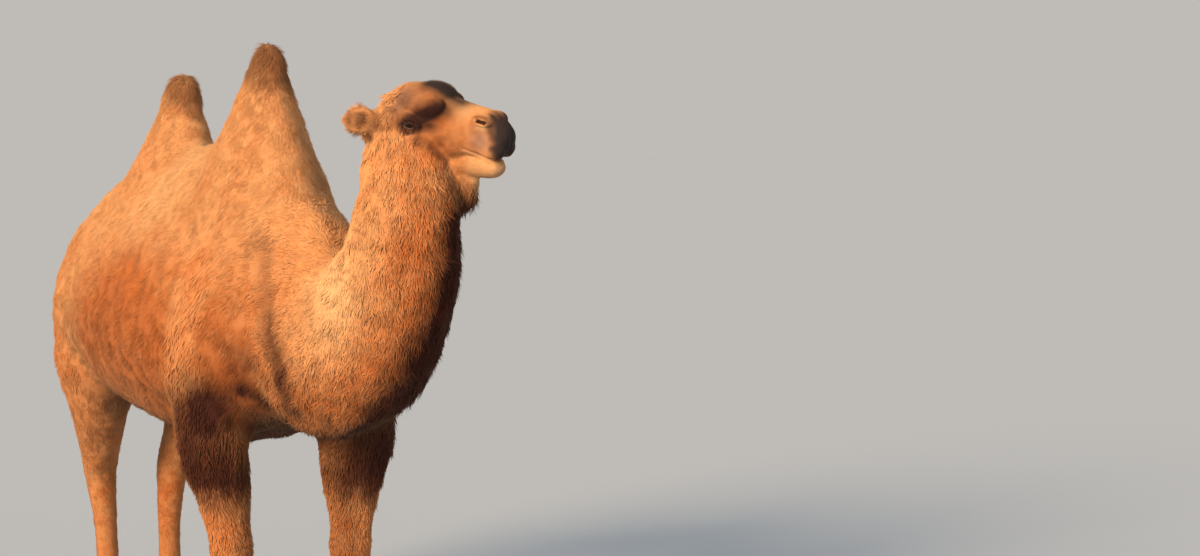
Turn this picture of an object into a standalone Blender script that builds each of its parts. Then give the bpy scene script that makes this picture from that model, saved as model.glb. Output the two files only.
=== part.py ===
"""A standing bactrian camel at life size, as a still museum model.

The coat's outer surface is modelled whole: lofts for the trunk, humps, neck, head, legs, feet,
ears and tail are fused and smoothed, and then parted into named pieces by thin flat cuts.
Metres, +Z up. The camel faces -Y, and +X is its left side.
In the tables a place is given as left, forward and height: left of the body's middle plane,
forward of the saddle between the humps, and height above the ground.
"""

import math

import bmesh
import bpy
import numpy as np
from mathutils import Matrix, Vector

CUT_GAP = 0.0004  # clear width of every cut between two pieces
COARSE_VOXEL = 0.022  # grid of the fused body
FINE_VOXEL = 0.0095  # grid once the head, ears, legs and tail are added
BODY_TRIANGLES = 2700  # of the whole camel but its head and feet
DETAIL_TRIANGLES = 2100  # of the head and the feet together
HEAD_REACH = 0.29  # how far from the middle of the head the finer triangles run

# Head: turned to the camel's left and nodding slightly, about the base of the skull.
HEAD_PLACE = (0.058, 0.970, 1.790)
HEAD_TURN = math.radians(31)
HEAD_NOD = math.radians(1)
HEAD_TILT = math.radians(8)

EYE_RADIUS = 0.023
EYE_IN_HEAD = (0.089, 0.187, 0.022)  # left, along and above, in the head's frame

KNEE = 0.53  # heights at which the legs part
HOCK = 0.60
FETLOCK = 0.135

# How far each foot stands forward of the square stance: fore, hind.
RIGHT_STEPS = (0.0, 0.0)
LEFT_STEPS = (0.05, 0.0)

FOREARM_FLARE = {-1: 0.0, 1: 0.042}  # right and left
RING_POINTS = 40


# ---------------------------------------------------------------- lofts


def place(left, forward, height):
    return np.array([left, -forward, height])


def spline(keys, values, at):
    """Catmull-Rom through (keys, values), read at the places in at."""
    keys = np.asarray(keys, float)
    values = np.asarray(values, float)
    slopes = np.gradient(values, keys, axis=0)
    i = np.clip(np.searchsorted(keys, at, side="right") - 1, 0, len(keys) - 2)
    span = (keys[i + 1] - keys[i])[:, None]
    t = (at[:, None] - keys[i][:, None]) / span
    t2, t3 = t * t, t * t * t
    return (
        (2 * t3 - 3 * t2 + 1) * values[i]
        + (t3 - 2 * t2 + t) * slopes[i] * span
        + (3 * t2 - 2 * t3) * values[i + 1]
        + (t3 - t2) * slopes[i + 1] * span
    )


def section(half_width, above, below, peak, keel, turns):
    """One closed ring: a superellipse with its own height and squareness above and below."""
    c, s = np.cos(turns), np.sin(turns)
    power = np.where(s >= 0, peak, keel)
    across = half_width * np.sign(c) * np.abs(c) ** (2 / power)
    upward = np.where(s >= 0, above, below) * np.sign(s) * np.abs(s) ** (2 / power)
    return across, upward


def loft(name, stations, lateral=(1, 0, 0), rings=36, blunt=0.12, lateral_end=None):
    """A closed solid through stations of (left, forward, height, half width, above, below, peak, keel).

    The sections stand square to the path, with their width along lateral, and above on the side of
    path x lateral. Both ends close in a quarter ellipse that takes up the share blunt of the length.
    """
    table = np.array(stations, float)
    centres = np.stack([table[:, 0], -table[:, 1], table[:, 2]], axis=1)
    steps = np.linalg.norm(np.diff(centres, axis=0), axis=1)
    keys = np.concatenate([[0], np.cumsum(steps)])
    keys /= keys[-1]
    # Rings crowd towards the ends, where the caps close.
    at = 0.5 - 0.5 * np.cos(np.linspace(0, math.pi, rings))
    path = spline(keys, centres, at)
    sizes = spline(keys, table[:, 3:], at)
    ends = np.minimum(at, 1 - at) / blunt
    closing = np.sqrt(np.clip(1 - (1 - np.clip(ends, 0, 1)) ** 2, 0.0004, 1))
    tangents = np.gradient(path, at, axis=0)
    tangents /= np.linalg.norm(tangents, axis=1)[:, None]
    first = np.array(lateral, float)
    last = first if lateral_end is None else np.array(lateral_end, float)
    turns = np.linspace(0, 2 * math.pi, RING_POINTS, endpoint=False)
    vertices = []
    for step, centre, tangent, size, close in zip(at, path, tangents, sizes, closing):
        side = first * (1 - step) + last * step
        side -= tangent * (side @ tangent)
        side /= np.linalg.norm(side)
        up = np.cross(tangent, side)
        across, upward = section(*size[:3] * close, *np.maximum(size[3:], 1.05), turns)
        vertices += list(centre + across[:, None] * side + upward[:, None] * up)
    n = RING_POINTS
    faces = [list(range(n))[::-1], [(rings - 1) * n + k for k in range(n)]]
    for ring in range(rings - 1):
        for k in range(n):
            a, b = ring * n + k, ring * n + (k + 1) % n
            faces.append((a, b, b + n, a + n))
    mesh = bpy.data.meshes.new(name)
    mesh.from_pydata([tuple(v) for v in vertices], [], faces)
    solid = bpy.data.objects.new(name, mesh)
    bpy.context.scene.collection.objects.link(solid)
    face_out(mesh)
    return solid


def face_out(mesh):
    shape = bmesh.new()
    shape.from_mesh(mesh)
    bmesh.ops.recalc_face_normals(shape, faces=shape.faces)
    shape.to_mesh(mesh)
    shape.free()


def ball(name, centre, radii, turn=None, rounds=24):
    """An ellipsoid, from a UV sphere. centre is a point in space and turn a rotation matrix."""
    shape = bmesh.new()
    bmesh.ops.create_uvsphere(shape, u_segments=rounds, v_segments=rounds * 5 // 8, radius=1)
    spin = turn.to_4x4() if turn is not None else Matrix.Identity(4)
    shape.transform(Matrix.Translation(Vector(centre)) @ spin @ Matrix.Diagonal((*radii, 1)))
    mesh = bpy.data.meshes.new(name)
    shape.to_mesh(mesh)
    shape.free()
    solid = bpy.data.objects.new(name, mesh)
    bpy.context.scene.collection.objects.link(solid)
    return solid


# ---------------------------------------------------------------- trunk, humps and neck


def trunk():
    # left, forward, height of the widest line, half width, above, below, peak, keel
    return loft(
        "trunk_loft",
        [
            (0, -0.905, 1.24, 0.12, 0.16, 0.18, 1.9, 2.0),
            (0, -0.81, 1.22, 0.248, 0.325, 0.27, 1.75, 2.0),
            (0, -0.66, 1.20, 0.338, 0.455, 0.33, 1.6, 2.0),
            (0, -0.45, 1.18, 0.368, 0.53, 0.31, 1.45, 2.1),
            (0, -0.20, 1.16, 0.395, 0.58, 0.34, 1.40, 2.2),
            (0, 0.00, 1.15, 0.405, 0.60, 0.36, 1.40, 2.2),
            (0, 0.25, 1.15, 0.395, 0.60, 0.37, 1.40, 2.2),
            (0, 0.45, 1.16, 0.354, 0.56, 0.335, 1.40, 2.1),
            (0, 0.63, 1.18, 0.292, 0.46, 0.32, 1.55, 2.0),
            (0, 0.77, 1.19, 0.165, 0.31, 0.25, 1.8, 2.0),
        ],
        rings=44,
        blunt=0.07,
    )


def front_hump():
    # The path climbs, so above is towards the tail and below towards the head.
    return loft(
        "front_hump_loft",
        [
            (0, 0.33, 1.34, 0.300, 0.34, 0.36, 1.9, 1.9),
            (0, 0.33, 1.50, 0.245, 0.32, 0.345, 1.8, 1.8),
            (0, 0.34, 1.65, 0.190, 0.275, 0.285, 1.7, 1.7),
            (0, 0.355, 1.78, 0.132, 0.215, 0.200, 1.8, 1.8),
            (0, 0.37, 1.90, 0.082, 0.140, 0.125, 1.9, 1.9),
            (0, 0.38, 2.00, 0.056, 0.082, 0.078, 2.0, 2.0),
            (0, 0.385, 2.075, 0.046, 0.062, 0.060, 2.0, 2.0),
        ],
        rings=34,
        blunt=0.075,
    )


def rear_hump():
    return loft(
        "rear_hump_loft",
        [
            (0, -0.36, 1.34, 0.290, 0.34, 0.34, 1.9, 1.9),
            (0, -0.36, 1.50, 0.230, 0.30, 0.31, 1.8, 1.8),
            (0.006, -0.37, 1.65, 0.160, 0.225, 0.27, 1.7, 1.7),
            (0.012, -0.372, 1.78, 0.100, 0.120, 0.175, 1.8, 1.8),
            (0.026, -0.368, 1.88, 0.074, 0.080, 0.105, 1.9, 1.9),
            (0.036, -0.362, 1.995, 0.050, 0.055, 0.062, 2.0, 2.0),
        ],
        rings=34,
        blunt=0.085,
    )


def neck():
    # The path runs forward and then climbs: above is the nape and below the throat.
    return loft(
        "neck_loft",
        [
            (0, 0.40, 1.28, 0.24, 0.26, 0.30, 2, 2),
            (0.0, 0.62, 1.23, 0.225, 0.33, 0.34, 1.7, 2),
            (0.010, 0.82, 1.190, 0.238, 0.265, 0.345, 1.8, 2),
            (0.030, 0.985, 1.235, 0.215, 0.195, 0.305, 1.9, 2),
            (0.060, 1.085, 1.35, 0.190, 0.165, 0.232, 2, 2),
            (0.080, 1.115, 1.50, 0.163, 0.140, 0.196, 2, 2),
            (0.090, 1.105, 1.63, 0.134, 0.125, 0.178, 2, 2),
            (0.095, 1.080, 1.75, 0.110, 0.115, 0.140, 2, 2),
            (0.088, 1.055, 1.84, 0.092, 0.092, 0.110, 2, 2),
        ],
        lateral_end=(math.cos(HEAD_TURN), math.sin(HEAD_TURN), 0),
        rings=40,
        blunt=0.08,
    )


# ---------------------------------------------------------------- legs and tail


def foreleg(side, step, flare):
    """Stations down a foreleg, so above is the front of the leg and below its back.

    flare is how far the shaggy forearm hair stands out on the outer side.
    """
    s = side
    return [
        (s * 0.215, 0.46, 1.30, 0.105, 0.20, 0.20, 2, 2),
        (s * 0.238, 0.45 + 0.1 * step, 1.10, 0.125, 0.19, 0.20, 2, 2),
        (s * (0.236 + 0.3 * flare), 0.44 + 0.3 * step, 0.94, 0.120 + 0.3 * flare, 0.150, 0.160, 2, 2),
        (s * (0.232 + 0.5 * flare), 0.46 + 0.5 * step, 0.80, 0.112 + 0.5 * flare, 0.120, 0.130, 2, 2),
        (s * (0.216 + 0.2 * flare), 0.48 + 0.7 * step, 0.67, 0.090 + 0.2 * flare, 0.092, 0.104, 2, 2),
        (s * 0.200, 0.50 + 0.9 * step, 0.53, 0.068, 0.070, 0.066, 2.3, 2.3),
        (s * 0.193, 0.505 + step, 0.45, 0.066, 0.060, 0.062, 2.3, 2.3),
        (s * 0.188, 0.50 + step, 0.36, 0.050, 0.046, 0.050, 2, 2),
        (s * 0.186, 0.50 + step, 0.25, 0.043, 0.040, 0.044, 2, 2),
        (s * 0.186, 0.50 + step, 0.15, 0.052, 0.048, 0.054, 2, 2),
        (s * 0.188, 0.515 + step, 0.05, 0.066, 0.064, 0.060, 2, 2),
    ]


def hindleg(side, step):
    s = side
    return [
        (s * 0.165, -0.57, 1.32, 0.110, 0.18, 0.19, 2, 2),
        (s * 0.205, -0.58, 1.16, 0.130, 0.210, 0.215, 2, 2),
        (s * 0.210, -0.58 + 0.2 * step, 1.00, 0.134, 0.185, 0.20, 2, 2),
        (s * 0.188, -0.61 + 0.4 * step, 0.85, 0.108, 0.130, 0.140, 2, 2),
        (s * 0.160, -0.68 + 0.6 * step, 0.71, 0.078, 0.085, 0.090, 2, 2),
        (s * 0.138, -0.735 + 0.75 * step, 0.59, 0.058, 0.062, 0.064, 2.2, 2.2),
        (s * 0.124, -0.735 + 0.85 * step, 0.46, 0.046, 0.046, 0.048, 2, 2),
        (s * 0.117, -0.725 + step, 0.29, 0.040, 0.038, 0.042, 2, 2),
        (s * 0.116, -0.715 + step, 0.15, 0.047, 0.044, 0.050, 2, 2),
        (s * 0.118, -0.700 + step, 0.05, 0.060, 0.058, 0.056, 2, 2),
    ]


def foot(name, left, forward, scale):
    """Two spreading toes on one cushion, which run below the ground until the soles are cut."""
    k = scale
    solids = [ball(f"{name}_cushion", place(left, forward - 0.015 * k, 0.012), (0.078 * k, 0.098 * k, 0.060))]
    for toe in (-1, 1):
        solids.append(
            loft(
                f"{name}_toe_{toe}",
                [
                    (left + toe * 0.026 * k, forward - 0.070 * k, 0.020, 0.046 * k, 0.050, 0.03, 2, 2.4),
                    (left + toe * 0.036 * k, forward - 0.010 * k, 0.018, 0.052 * k, 0.062, 0.03, 2, 2.4),
                    (left + toe * 0.042 * k, forward + 0.060 * k, 0.014, 0.048 * k, 0.050, 0.03, 2, 2.4),
                    (left + toe * 0.043 * k, forward + 0.125 * k, 0.010, 0.036 * k, 0.034, 0.03, 2, 2.4),
                ],
                rings=20,
                blunt=0.20,
            )
        )
    return solids


def tail():
    # The path runs down behind the rump, so above is the side towards the body.
    return [
        loft(
            "tail_loft",
            [
                (0, -0.80, 1.43, 0.055, 0.05, 0.05, 2, 2),
                (0, -0.885, 1.40, 0.046, 0.042, 0.042, 2, 2),
                (0, -0.950, 1.31, 0.036, 0.030, 0.032, 2, 2),
                (0, -0.972, 1.18, 0.030, 0.026, 0.028, 2, 2),
                (0, -0.972, 1.04, 0.040, 0.032, 0.034, 2, 2),
                (0, -0.962, 0.90, 0.026, 0.022, 0.022, 2, 2),
            ],
            rings=30,
            blunt=0.10,
        )
    ]


# ---------------------------------------------------------------- head


def head_matrix():
    """From the head's own frame (left, along, above) into space."""
    flat_left = Vector((math.cos(HEAD_TURN), math.sin(HEAD_TURN), 0))
    flat_along = Vector((math.sin(HEAD_TURN), -math.cos(HEAD_TURN), 0))
    along = flat_along * math.cos(HEAD_NOD) + Vector((0, 0, -math.sin(HEAD_NOD)))
    above = flat_along * math.sin(HEAD_NOD) + Vector((0, 0, math.cos(HEAD_NOD)))
    left = flat_left * math.cos(HEAD_TILT) + above * math.sin(HEAD_TILT)
    above = above * math.cos(HEAD_TILT) - flat_left * math.sin(HEAD_TILT)
    spin = Matrix((left, along, above)).transposed().to_4x4()
    return Matrix.Translation(Vector(place(*HEAD_PLACE))) @ spin


def in_head(solid):
    """Moves a solid that was built with its own left, along and above as X, Y and Z."""
    solid.data.transform(head_matrix())
    if head_matrix().determinant() < 0:
        solid.data.flip_normals()
    return solid


def head_loft(name, stations, **settings):
    """A loft in the head's frame. Its stations give left, along and above, so the path runs forward."""
    solid = loft(name, stations, **settings)
    solid.data.transform(Matrix.Diagonal((1, -1, 1, 1)))
    face_out(solid.data)
    in_head(solid)
    face_out(solid.data)
    return solid


def head_ball(name, at, radii, turn=(0, 0, 0), rounds=24):
    spin = Matrix.Rotation(turn[2], 3, "Z") @ Matrix.Rotation(turn[0], 3, "X") @ Matrix.Rotation(turn[1], 3, "Y")
    solid = ball(name, at, radii, spin, rounds)
    in_head(solid)
    face_out(solid.data)
    return solid


def head():
    # left, along, above, half width, above, below: the skull with the nose and upper lip
    skull = head_loft(
        "skull_loft",
        [
            (0, 0.000, -0.010, 0.082, 0.060, 0.070, 2, 2),
            (0, 0.055, 0.000, 0.098, 0.076, 0.105, 2, 2),
            (0, 0.115, 0.010, 0.104, 0.112, 0.125, 2, 2),
            (0, 0.180, 0.012, 0.094, 0.118, 0.125, 2, 2),
            (0, 0.240, 0.006, 0.077, 0.106, 0.109, 2.1, 2),
            (0, 0.300, -0.004, 0.066, 0.094, 0.091, 2.2, 2.2),
            (0, 0.355, -0.012, 0.061, 0.086, 0.064, 2.2, 2.3),
            (0, 0.405, -0.022, 0.062, 0.080, 0.058, 2.1, 2.3),
            (0, 0.440, -0.038, 0.058, 0.064, 0.048, 2.0, 2.2),
            (0, 0.472, -0.060, 0.046, 0.036, 0.032, 2, 2),
        ],
        rings=48,
        blunt=0.05,
    )
    jaw = head_loft(
        "jaw_loft",
        [
            (0, 0.050, -0.080, 0.068, 0.06, 0.055, 2, 2),
            (0, 0.130, -0.092, 0.070, 0.06, 0.060, 2, 2),
            (0, 0.210, -0.100, 0.056, 0.05, 0.050, 2, 2),
            (0, 0.290, -0.106, 0.046, 0.03, 0.040, 2, 2),
            (0, 0.360, -0.108, 0.041, 0.038, 0.035, 2, 2),
            (0, 0.415, -0.112, 0.040, 0.030, 0.032, 2, 2),
            (0, 0.452, -0.114, 0.034, 0.022, 0.024, 2, 2),
        ],
        rings=36,
        blunt=0.08,
    )
    pieces = [skull, jaw]
    pieces.append(head_ball("crown", (0, 0.172, 0.080), (0.076, 0.086, 0.058)))
    pieces.append(head_ball("forehead", (0, 0.225, 0.088), (0.056, 0.080, 0.050)))
    pieces.append(head_ball("beard", (0, 0.250, -0.162), (0.056, 0.115, 0.098)))
    pieces.append(head_ball("throat", (0, 0.13, -0.115), (0.080, 0.115, 0.080)))
    for s in (-1, 1):
        pieces.append(head_ball(f"brow_{s}", (s * 0.058, 0.228, 0.074), (0.034, 0.068, 0.036), (0, s * 0.35, 0)))
        pieces.append(head_ball(f"temple_{s}", (s * 0.082, 0.130, 0.030), (0.034, 0.052, 0.056)))
        pieces.append(head_ball(f"cheek_{s}", (s * 0.058, 0.150, -0.066), (0.036, 0.090, 0.062)))
        pieces.append(head_ball(f"eye_bulge_{s}", (s * 0.070, 0.190, 0.012), (0.030, 0.046, 0.040)))
        pieces.append(head_ball(f"nostril_{s}", (s * 0.036, 0.408, 0.028), (0.029, 0.044, 0.027)))
        pieces.append(head_ball(f"upper_lip_{s}", (s * 0.028, 0.432, -0.054), (0.036, 0.042, 0.032)))
    return pieces


def ear(side):
    """A rounded cup on a short stalk, opening outwards and forwards."""
    s = side
    root = (s * 0.078, 0.105, 0.024)
    middle = (s * 0.128, 0.058, 0.038)
    tip = (s * 0.175, 0.014, 0.048)
    return head_loft(
        f"ear_loft_{s}",
        [
            (*root, 0.024, 0.020, 0.020, 2, 2),
            (*middle, 0.046, 0.017, 0.017, 2, 2),
            (*tip, 0.030, 0.010, 0.010, 2, 2),
        ],
        lateral=(0.0, 0.0, 1.0),
        rings=18,
        blunt=0.30,
    )


# ---------------------------------------------------------------- fusing


def join(solids, name):
    """All of these meshes in one object, still crossing each other."""
    shape = bmesh.new()
    for solid in solids:
        shape.from_mesh(solid.data)
        bpy.data.objects.remove(solid)
    mesh = bpy.data.meshes.new(name)
    shape.to_mesh(mesh)
    shape.free()
    whole = bpy.data.objects.new(name, mesh)
    bpy.context.scene.collection.objects.link(whole)
    return whole


def apply_modifiers(solid):
    graph = bpy.context.evaluated_depsgraph_get()
    mesh = bpy.data.meshes.new_from_object(solid.evaluated_get(graph))
    solid.modifiers.clear()
    solid.data = mesh
    return solid


def fuse(solid, voxel, smoothing):
    grid = solid.modifiers.new("fuse", "REMESH")
    grid.mode = "VOXEL"
    grid.voxel_size = voxel
    if smoothing:
        smooth = solid.modifiers.new("smooth", "SMOOTH")
        smooth.factor = 0.5
        smooth.iterations = smoothing
    return apply_modifiers(solid)


def whole_camel():
    legs = []
    feet = []
    for side, fore_step, hind_step in ((-1, *RIGHT_STEPS), (1, *LEFT_STEPS)):
        legs.append(foreleg(side, fore_step, FOREARM_FLARE[side]))
        legs.append(hindleg(side, hind_step))
        feet += foot(f"forefoot_{side}", side * 0.188, 0.535 + fore_step, 1.0)
        feet += foot(f"hindfoot_{side}", side * 0.118, -0.680 + hind_step, 0.88)
    upper = [loft(f"upper_leg_{k}", leg, rings=52, blunt=0.03) for k, leg in enumerate(legs)]
    body = join([trunk(), front_hump(), rear_hump(), neck()] + upper, "body")
    body = fuse(body, COARSE_VOXEL, 10)
    # The slim lower legs go in again, as the smoothing above has thinned them.
    lower = [loft(f"lower_leg_{k}", leg[3:], rings=44, blunt=0.03) for k, leg in enumerate(legs)]
    solids = [body] + lower + feet + tail() + head() + [ear(-1), ear(1)]
    camel = fuse(join(solids, "camel"), FINE_VOXEL, 4)
    return thin_out(camel)


def thin_out(camel):
    """Fewer, larger triangles: the plain body first, then the head and the feet more gently."""
    into_head = head_matrix().inverted()
    for target, fine_part in ((BODY_TRIANGLES, False), (DETAIL_TRIANGLES, True)):
        fine = {}
        for vertex in camel.data.vertices:
            from_head = (into_head @ vertex.co - Vector((0, 0.22, -0.02))).length
            fine[vertex.index] = from_head < HEAD_REACH or vertex.co.z < FETLOCK
        group = camel.vertex_groups.new(name="thin")
        group.add([index for index, detail in fine.items() if detail == fine_part], 1.0, "REPLACE")
        kept = sum(1 for detail in fine.values() if detail != fine_part)
        thin = camel.modifiers.new("thin", "DECIMATE")
        triangles = sum(len(face.vertices) - 2 for face in camel.data.polygons)
        # A closed mesh has about two triangles for each vertex.
        thin.ratio = (2 * kept + target) / triangles
        thin.vertex_group = "thin"
        thin.use_collapse_triangulate = True
        apply_modifiers(camel)
        camel.vertex_groups.clear()
    return camel


# ---------------------------------------------------------------- parting


def above(point, normal):
    """The half of space on the side of normal, as (point, normal)."""
    return Vector(point), Vector(normal).normalized()


def region(halves, grow=0.0):
    """The convex solid inside all of these halves of space, each moved outwards by grow."""
    shape = bmesh.new()
    bmesh.ops.create_cube(shape, size=8)
    for point, normal in halves:
        sides = shape.verts[:] + shape.edges[:] + shape.faces[:]
        cut = bmesh.ops.bisect_plane(
            shape,
            geom=sides,
            plane_co=point - normal * grow,
            plane_no=normal,
            dist=1e-6,
            clear_inner=True,
        )
        rim = [edge for edge in cut["geom_cut"] if isinstance(edge, bmesh.types.BMEdge)]
        if rim:
            bmesh.ops.edgeloop_fill(shape, edges=rim)
    bmesh.ops.recalc_face_normals(shape, faces=shape.faces)
    mesh = bpy.data.meshes.new("region")
    shape.to_mesh(mesh)
    shape.free()
    solid = bpy.data.objects.new("region", mesh)
    bpy.context.scene.collection.objects.link(solid)
    return solid


def cut(solid, tool, how):
    """Applies one exact Boolean with tool, and drops tool."""
    knife = solid.modifiers.new("cut", "BOOLEAN")
    knife.operation = how
    knife.solver = "EXACT"
    knife.object = tool
    apply_modifiers(solid)
    bpy.data.objects.remove(tool)
    return solid


def copy_of(solid, name):
    twin = bpy.data.objects.new(name, solid.data.copy())
    bpy.context.scene.collection.objects.link(twin)
    return twin


def place_half(point, direction):
    """A half of space from a point and a direction, both as (left, forward, height)."""
    return above(place(*point), place(*direction))


def head_half(point, direction):
    """A half of space from a point and a direction in the head's own frame."""
    frame = head_matrix()
    return above(frame @ Vector(point), frame.to_3x3() @ Vector(direction))


def flipped(half):
    """The other half of the same space, leaving the cut's gap between the two."""
    point, normal = half
    return point - normal * CUT_GAP, -normal


NECK_ROOT = place_half((0, 0.66, 1.30), (0, 1.0, 0.16))
NECK_BEND = place_half((0, 0.88, 1.50), (0, 0.32, 0.40))
SKULL_BASE = head_half((0, 0.10, -0.093), (0, 0.27, 1.0))
MOUTH = head_half((0, 0.40, -0.072), (0, -0.36, -1.0))
MOUTH_CORNER = head_half((0, 0.335, -0.05), (0, 1.0, -0.45))
NAIL_BACK = 0.024  # how far each nail reaches back from its toe's front


def leg_regions(side, word, top_point, top_direction, front, back, joint):
    """Upper leg, lower leg and foot of one leg, from above downwards."""
    s = side
    point = (s * top_point[0], top_point[1], top_point[2])
    direction = (s * top_direction[0], top_direction[1], top_direction[2])
    sides = [
        place_half((s * 0.02, 0, 0), (s, 0, 0)),
        place_half((0, back, 0), (0, 1, 0)),
        place_half((0, front, 0), (0, -1, 0)),
        place_half(point, direction),
        place_half((0, 0, 0), (0, 0, 1)),
    ]
    at_joint = place_half((0, 0, joint), (0, 0, 1))
    at_fetlock = place_half((0, 0, FETLOCK), (0, 0, 1))
    tag = "right" if side < 0 else "left"
    return {
        f"{word}_upper_leg_{tag}": sides + [at_joint],
        f"{word}_lower_leg_{tag}": sides + [flipped(at_joint), at_fetlock],
        f"{word}_foot_{tag}": sides + [flipped(at_fetlock)],
    }


def body_regions():
    """Every piece but the trunk, as the halves of space that bound it."""
    pieces = {
        "hump_front": [
            place_half((0, 0.30, 1.625), (0, 0.05, 1.0)),
            place_half((0, 0.05, 1.72), (0, 1.0, 0.35)),
        ],
        "hump_rear": [
            place_half((0, -0.36, 1.655), (0, 0.03, 1.0)),
            place_half((0, -0.12, 1.72), (0, -1.0, 0.35)),
        ],
        "neck_lower": [NECK_ROOT, flipped(NECK_BEND)],
        "neck_upper": [NECK_ROOT, NECK_BEND, flipped(SKULL_BASE)],
        "head": [NECK_ROOT, SKULL_BASE],
        "tail": [place_half((0, -0.918, 1.2), (0, -1, 0)), place_half((0, 0, 0.84), (0, 0, 1))],
    }
    pieces["hump_front"].append(flipped(NECK_ROOT))
    for side in (-1, 1):
        pieces |= leg_regions(side, "fore", (0.11, 0.45, 0.83), (0.37, 0, -0.30), 0.80, 0.20, KNEE)
        pieces |= leg_regions(side, "hind", (0.07, -0.6, 0.90), (0.34, 0.06, -0.32), -0.30, -1.1, HOCK)
    return pieces


def single(solid):
    """Keeps the largest closed body of a solid, and drops any crumbs a cut has left."""
    shape = bmesh.new()
    shape.from_mesh(solid.data)
    bmesh.ops.remove_doubles(shape, verts=shape.verts, dist=0.00002)
    left = set(shape.verts)
    islands = []
    while left:
        reached = {left.pop()}
        edge = set(reached)
        while edge:
            edge = {e.other_vert(v) for v in edge for e in v.link_edges} - reached
            reached |= edge
        left -= reached
        islands.append(reached)
    islands.sort(key=len, reverse=True)
    for island in islands[1:]:
        bmesh.ops.delete(shape, geom=list(island), context="VERTS")
    shape.to_mesh(solid.data)
    shape.free()
    return solid


def taken(body, halves, name):
    """The part of body inside a region, as a new solid."""
    return single(cut(copy_of(body, name), region(halves), "INTERSECT"))


def without(body, halves):
    return cut(body, region(halves, CUT_GAP), "DIFFERENCE")


def head_pieces(head_solid):
    """Ears, lower jaw and eyes out of the head, which keeps the rest."""
    pieces = {}
    jaw_halves = [MOUTH, MOUTH_CORNER]
    pieces["lower_jaw"] = taken(head_solid, jaw_halves, "lower_jaw")
    without(head_solid, jaw_halves)
    for side, tag in ((-1, "right"), (1, "left")):
        halves = [
            head_half((side * 0.118, 0.075, 0.03), (side * 1.0, -0.2, 0.0)),
            head_half((0, 0.135, 0), (0, -1, 0)),
            head_half((0, 0, -0.010), (0, 0, 1)),
        ]
        pieces[f"ear_{tag}"] = taken(head_solid, halves, f"ear_{tag}")
        without(head_solid, halves)
        spot = (side * EYE_IN_HEAD[0], EYE_IN_HEAD[1], EYE_IN_HEAD[2])
        socket = head_ball("socket", spot, (EYE_RADIUS + CUT_GAP,) * 3, rounds=12)
        cut(head_solid, socket, "DIFFERENCE")
        pieces[f"eye_{tag}"] = head_ball(f"eye_{tag}", spot, (EYE_RADIUS,) * 3, rounds=12)
        slit = head_ball("slit", (side * 0.060, 0.412, 0.030), (0.015, 0.024, 0.006), (-0.2, 0, side * 0.2), 12)
        cut(head_solid, slit, "DIFFERENCE")
    pieces["head"] = single(head_solid)
    return pieces


def toenails(foot_solid, centre, tags):
    """The two nails at the front of a foot, and the foot without them."""
    pieces = {}
    places = np.array([vertex.co for vertex in foot_solid.data.vertices])
    for toe, tag in zip((-1, 1), tags):
        own = places[(places[:, 0] - centre) * toe > 0]
        tip = -own[:, 1].min()
        halves = [
            place_half((0, tip - NAIL_BACK, 0.026), (0, 1.0, 0.55)),
            place_half((centre + toe * 0.002, 0, 0), (toe, 0, 0)),
            place_half((0, 0, 0.006), (0, 0, 1)),
        ]
        pieces[tag] = taken(foot_solid, halves, tag)
        without(foot_solid, halves)
    single(foot_solid)
    return pieces


COATS = {
    "trunk": (0.62, 0.34, 0.16),
    "hump": (0.55, 0.28, 0.12),
    "neck": (0.50, 0.24, 0.10),
    "head": (0.60, 0.33, 0.17),
    "lower_jaw": (0.68, 0.47, 0.30),
    "ear": (0.45, 0.24, 0.12),
    "eye": (0.012, 0.006, 0.004),
    "tail": (0.30, 0.14, 0.06),
    "fore": (0.40, 0.20, 0.09),
    "hind": (0.58, 0.32, 0.16),
    "nail": (0.05, 0.035, 0.025),
}


def paint(solid):
    """A plain material of the piece's own."""
    word = "nail" if "nail" in solid.name else next(key for key in COATS if solid.name.startswith(key))
    material = bpy.data.materials.new(f"{solid.name}_surface")
    material.use_nodes = True
    shader = material.node_tree.nodes["Principled BSDF"]
    shader.inputs["Base Color"].default_value = (*COATS[word], 1)
    shader.inputs["Roughness"].default_value = 0.08 if word == "eye" else 0.85
    solid.data.materials.clear()
    solid.data.materials.append(material)


def main():
    for old in list(bpy.data.objects):
        bpy.data.objects.remove(old)
    camel = whole_camel()
    pieces = {}
    regions = body_regions()
    for name, halves in regions.items():
        pieces[name] = taken(camel, halves, name)
    for halves in regions.values():
        without(camel, halves)
    camel.name = "trunk"
    pieces["trunk"] = single(camel)
    pieces |= head_pieces(pieces.pop("head"))
    for word, across in (("fore", 0.188), ("hind", 0.118)):
        for side, tag in ((-1, "right"), (1, "left")):
            # Toes are named from the camel's middle plane outwards.
            order = ("outer", "inner") if side < 0 else ("inner", "outer")
            tags = [f"{word}_nail_{toe}_{tag}" for toe in order]
            pieces |= toenails(pieces[f"{word}_foot_{tag}"], side * across, tags)
    corners = np.array([v.co for solid in pieces.values() for v in solid.data.vertices])
    low, high = corners.min(axis=0), corners.max(axis=0)
    shift = Matrix.Translation((-(low[0] + high[0]) / 2, -(low[1] + high[1]) / 2, -low[2]))
    home = bpy.data.collections.new("Bactrian camel")
    bpy.context.scene.collection.children.link(home)
    for name, solid in pieces.items():
        solid.data.transform(shift)
        solid.name = name
        solid.data.name = name
        paint(solid)
        bpy.context.scene.collection.objects.unlink(solid)
        home.objects.link(solid)


main()
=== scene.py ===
import math

import bmesh
import bpy
import numpy as np
from mathutils import Matrix, Vector


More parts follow.
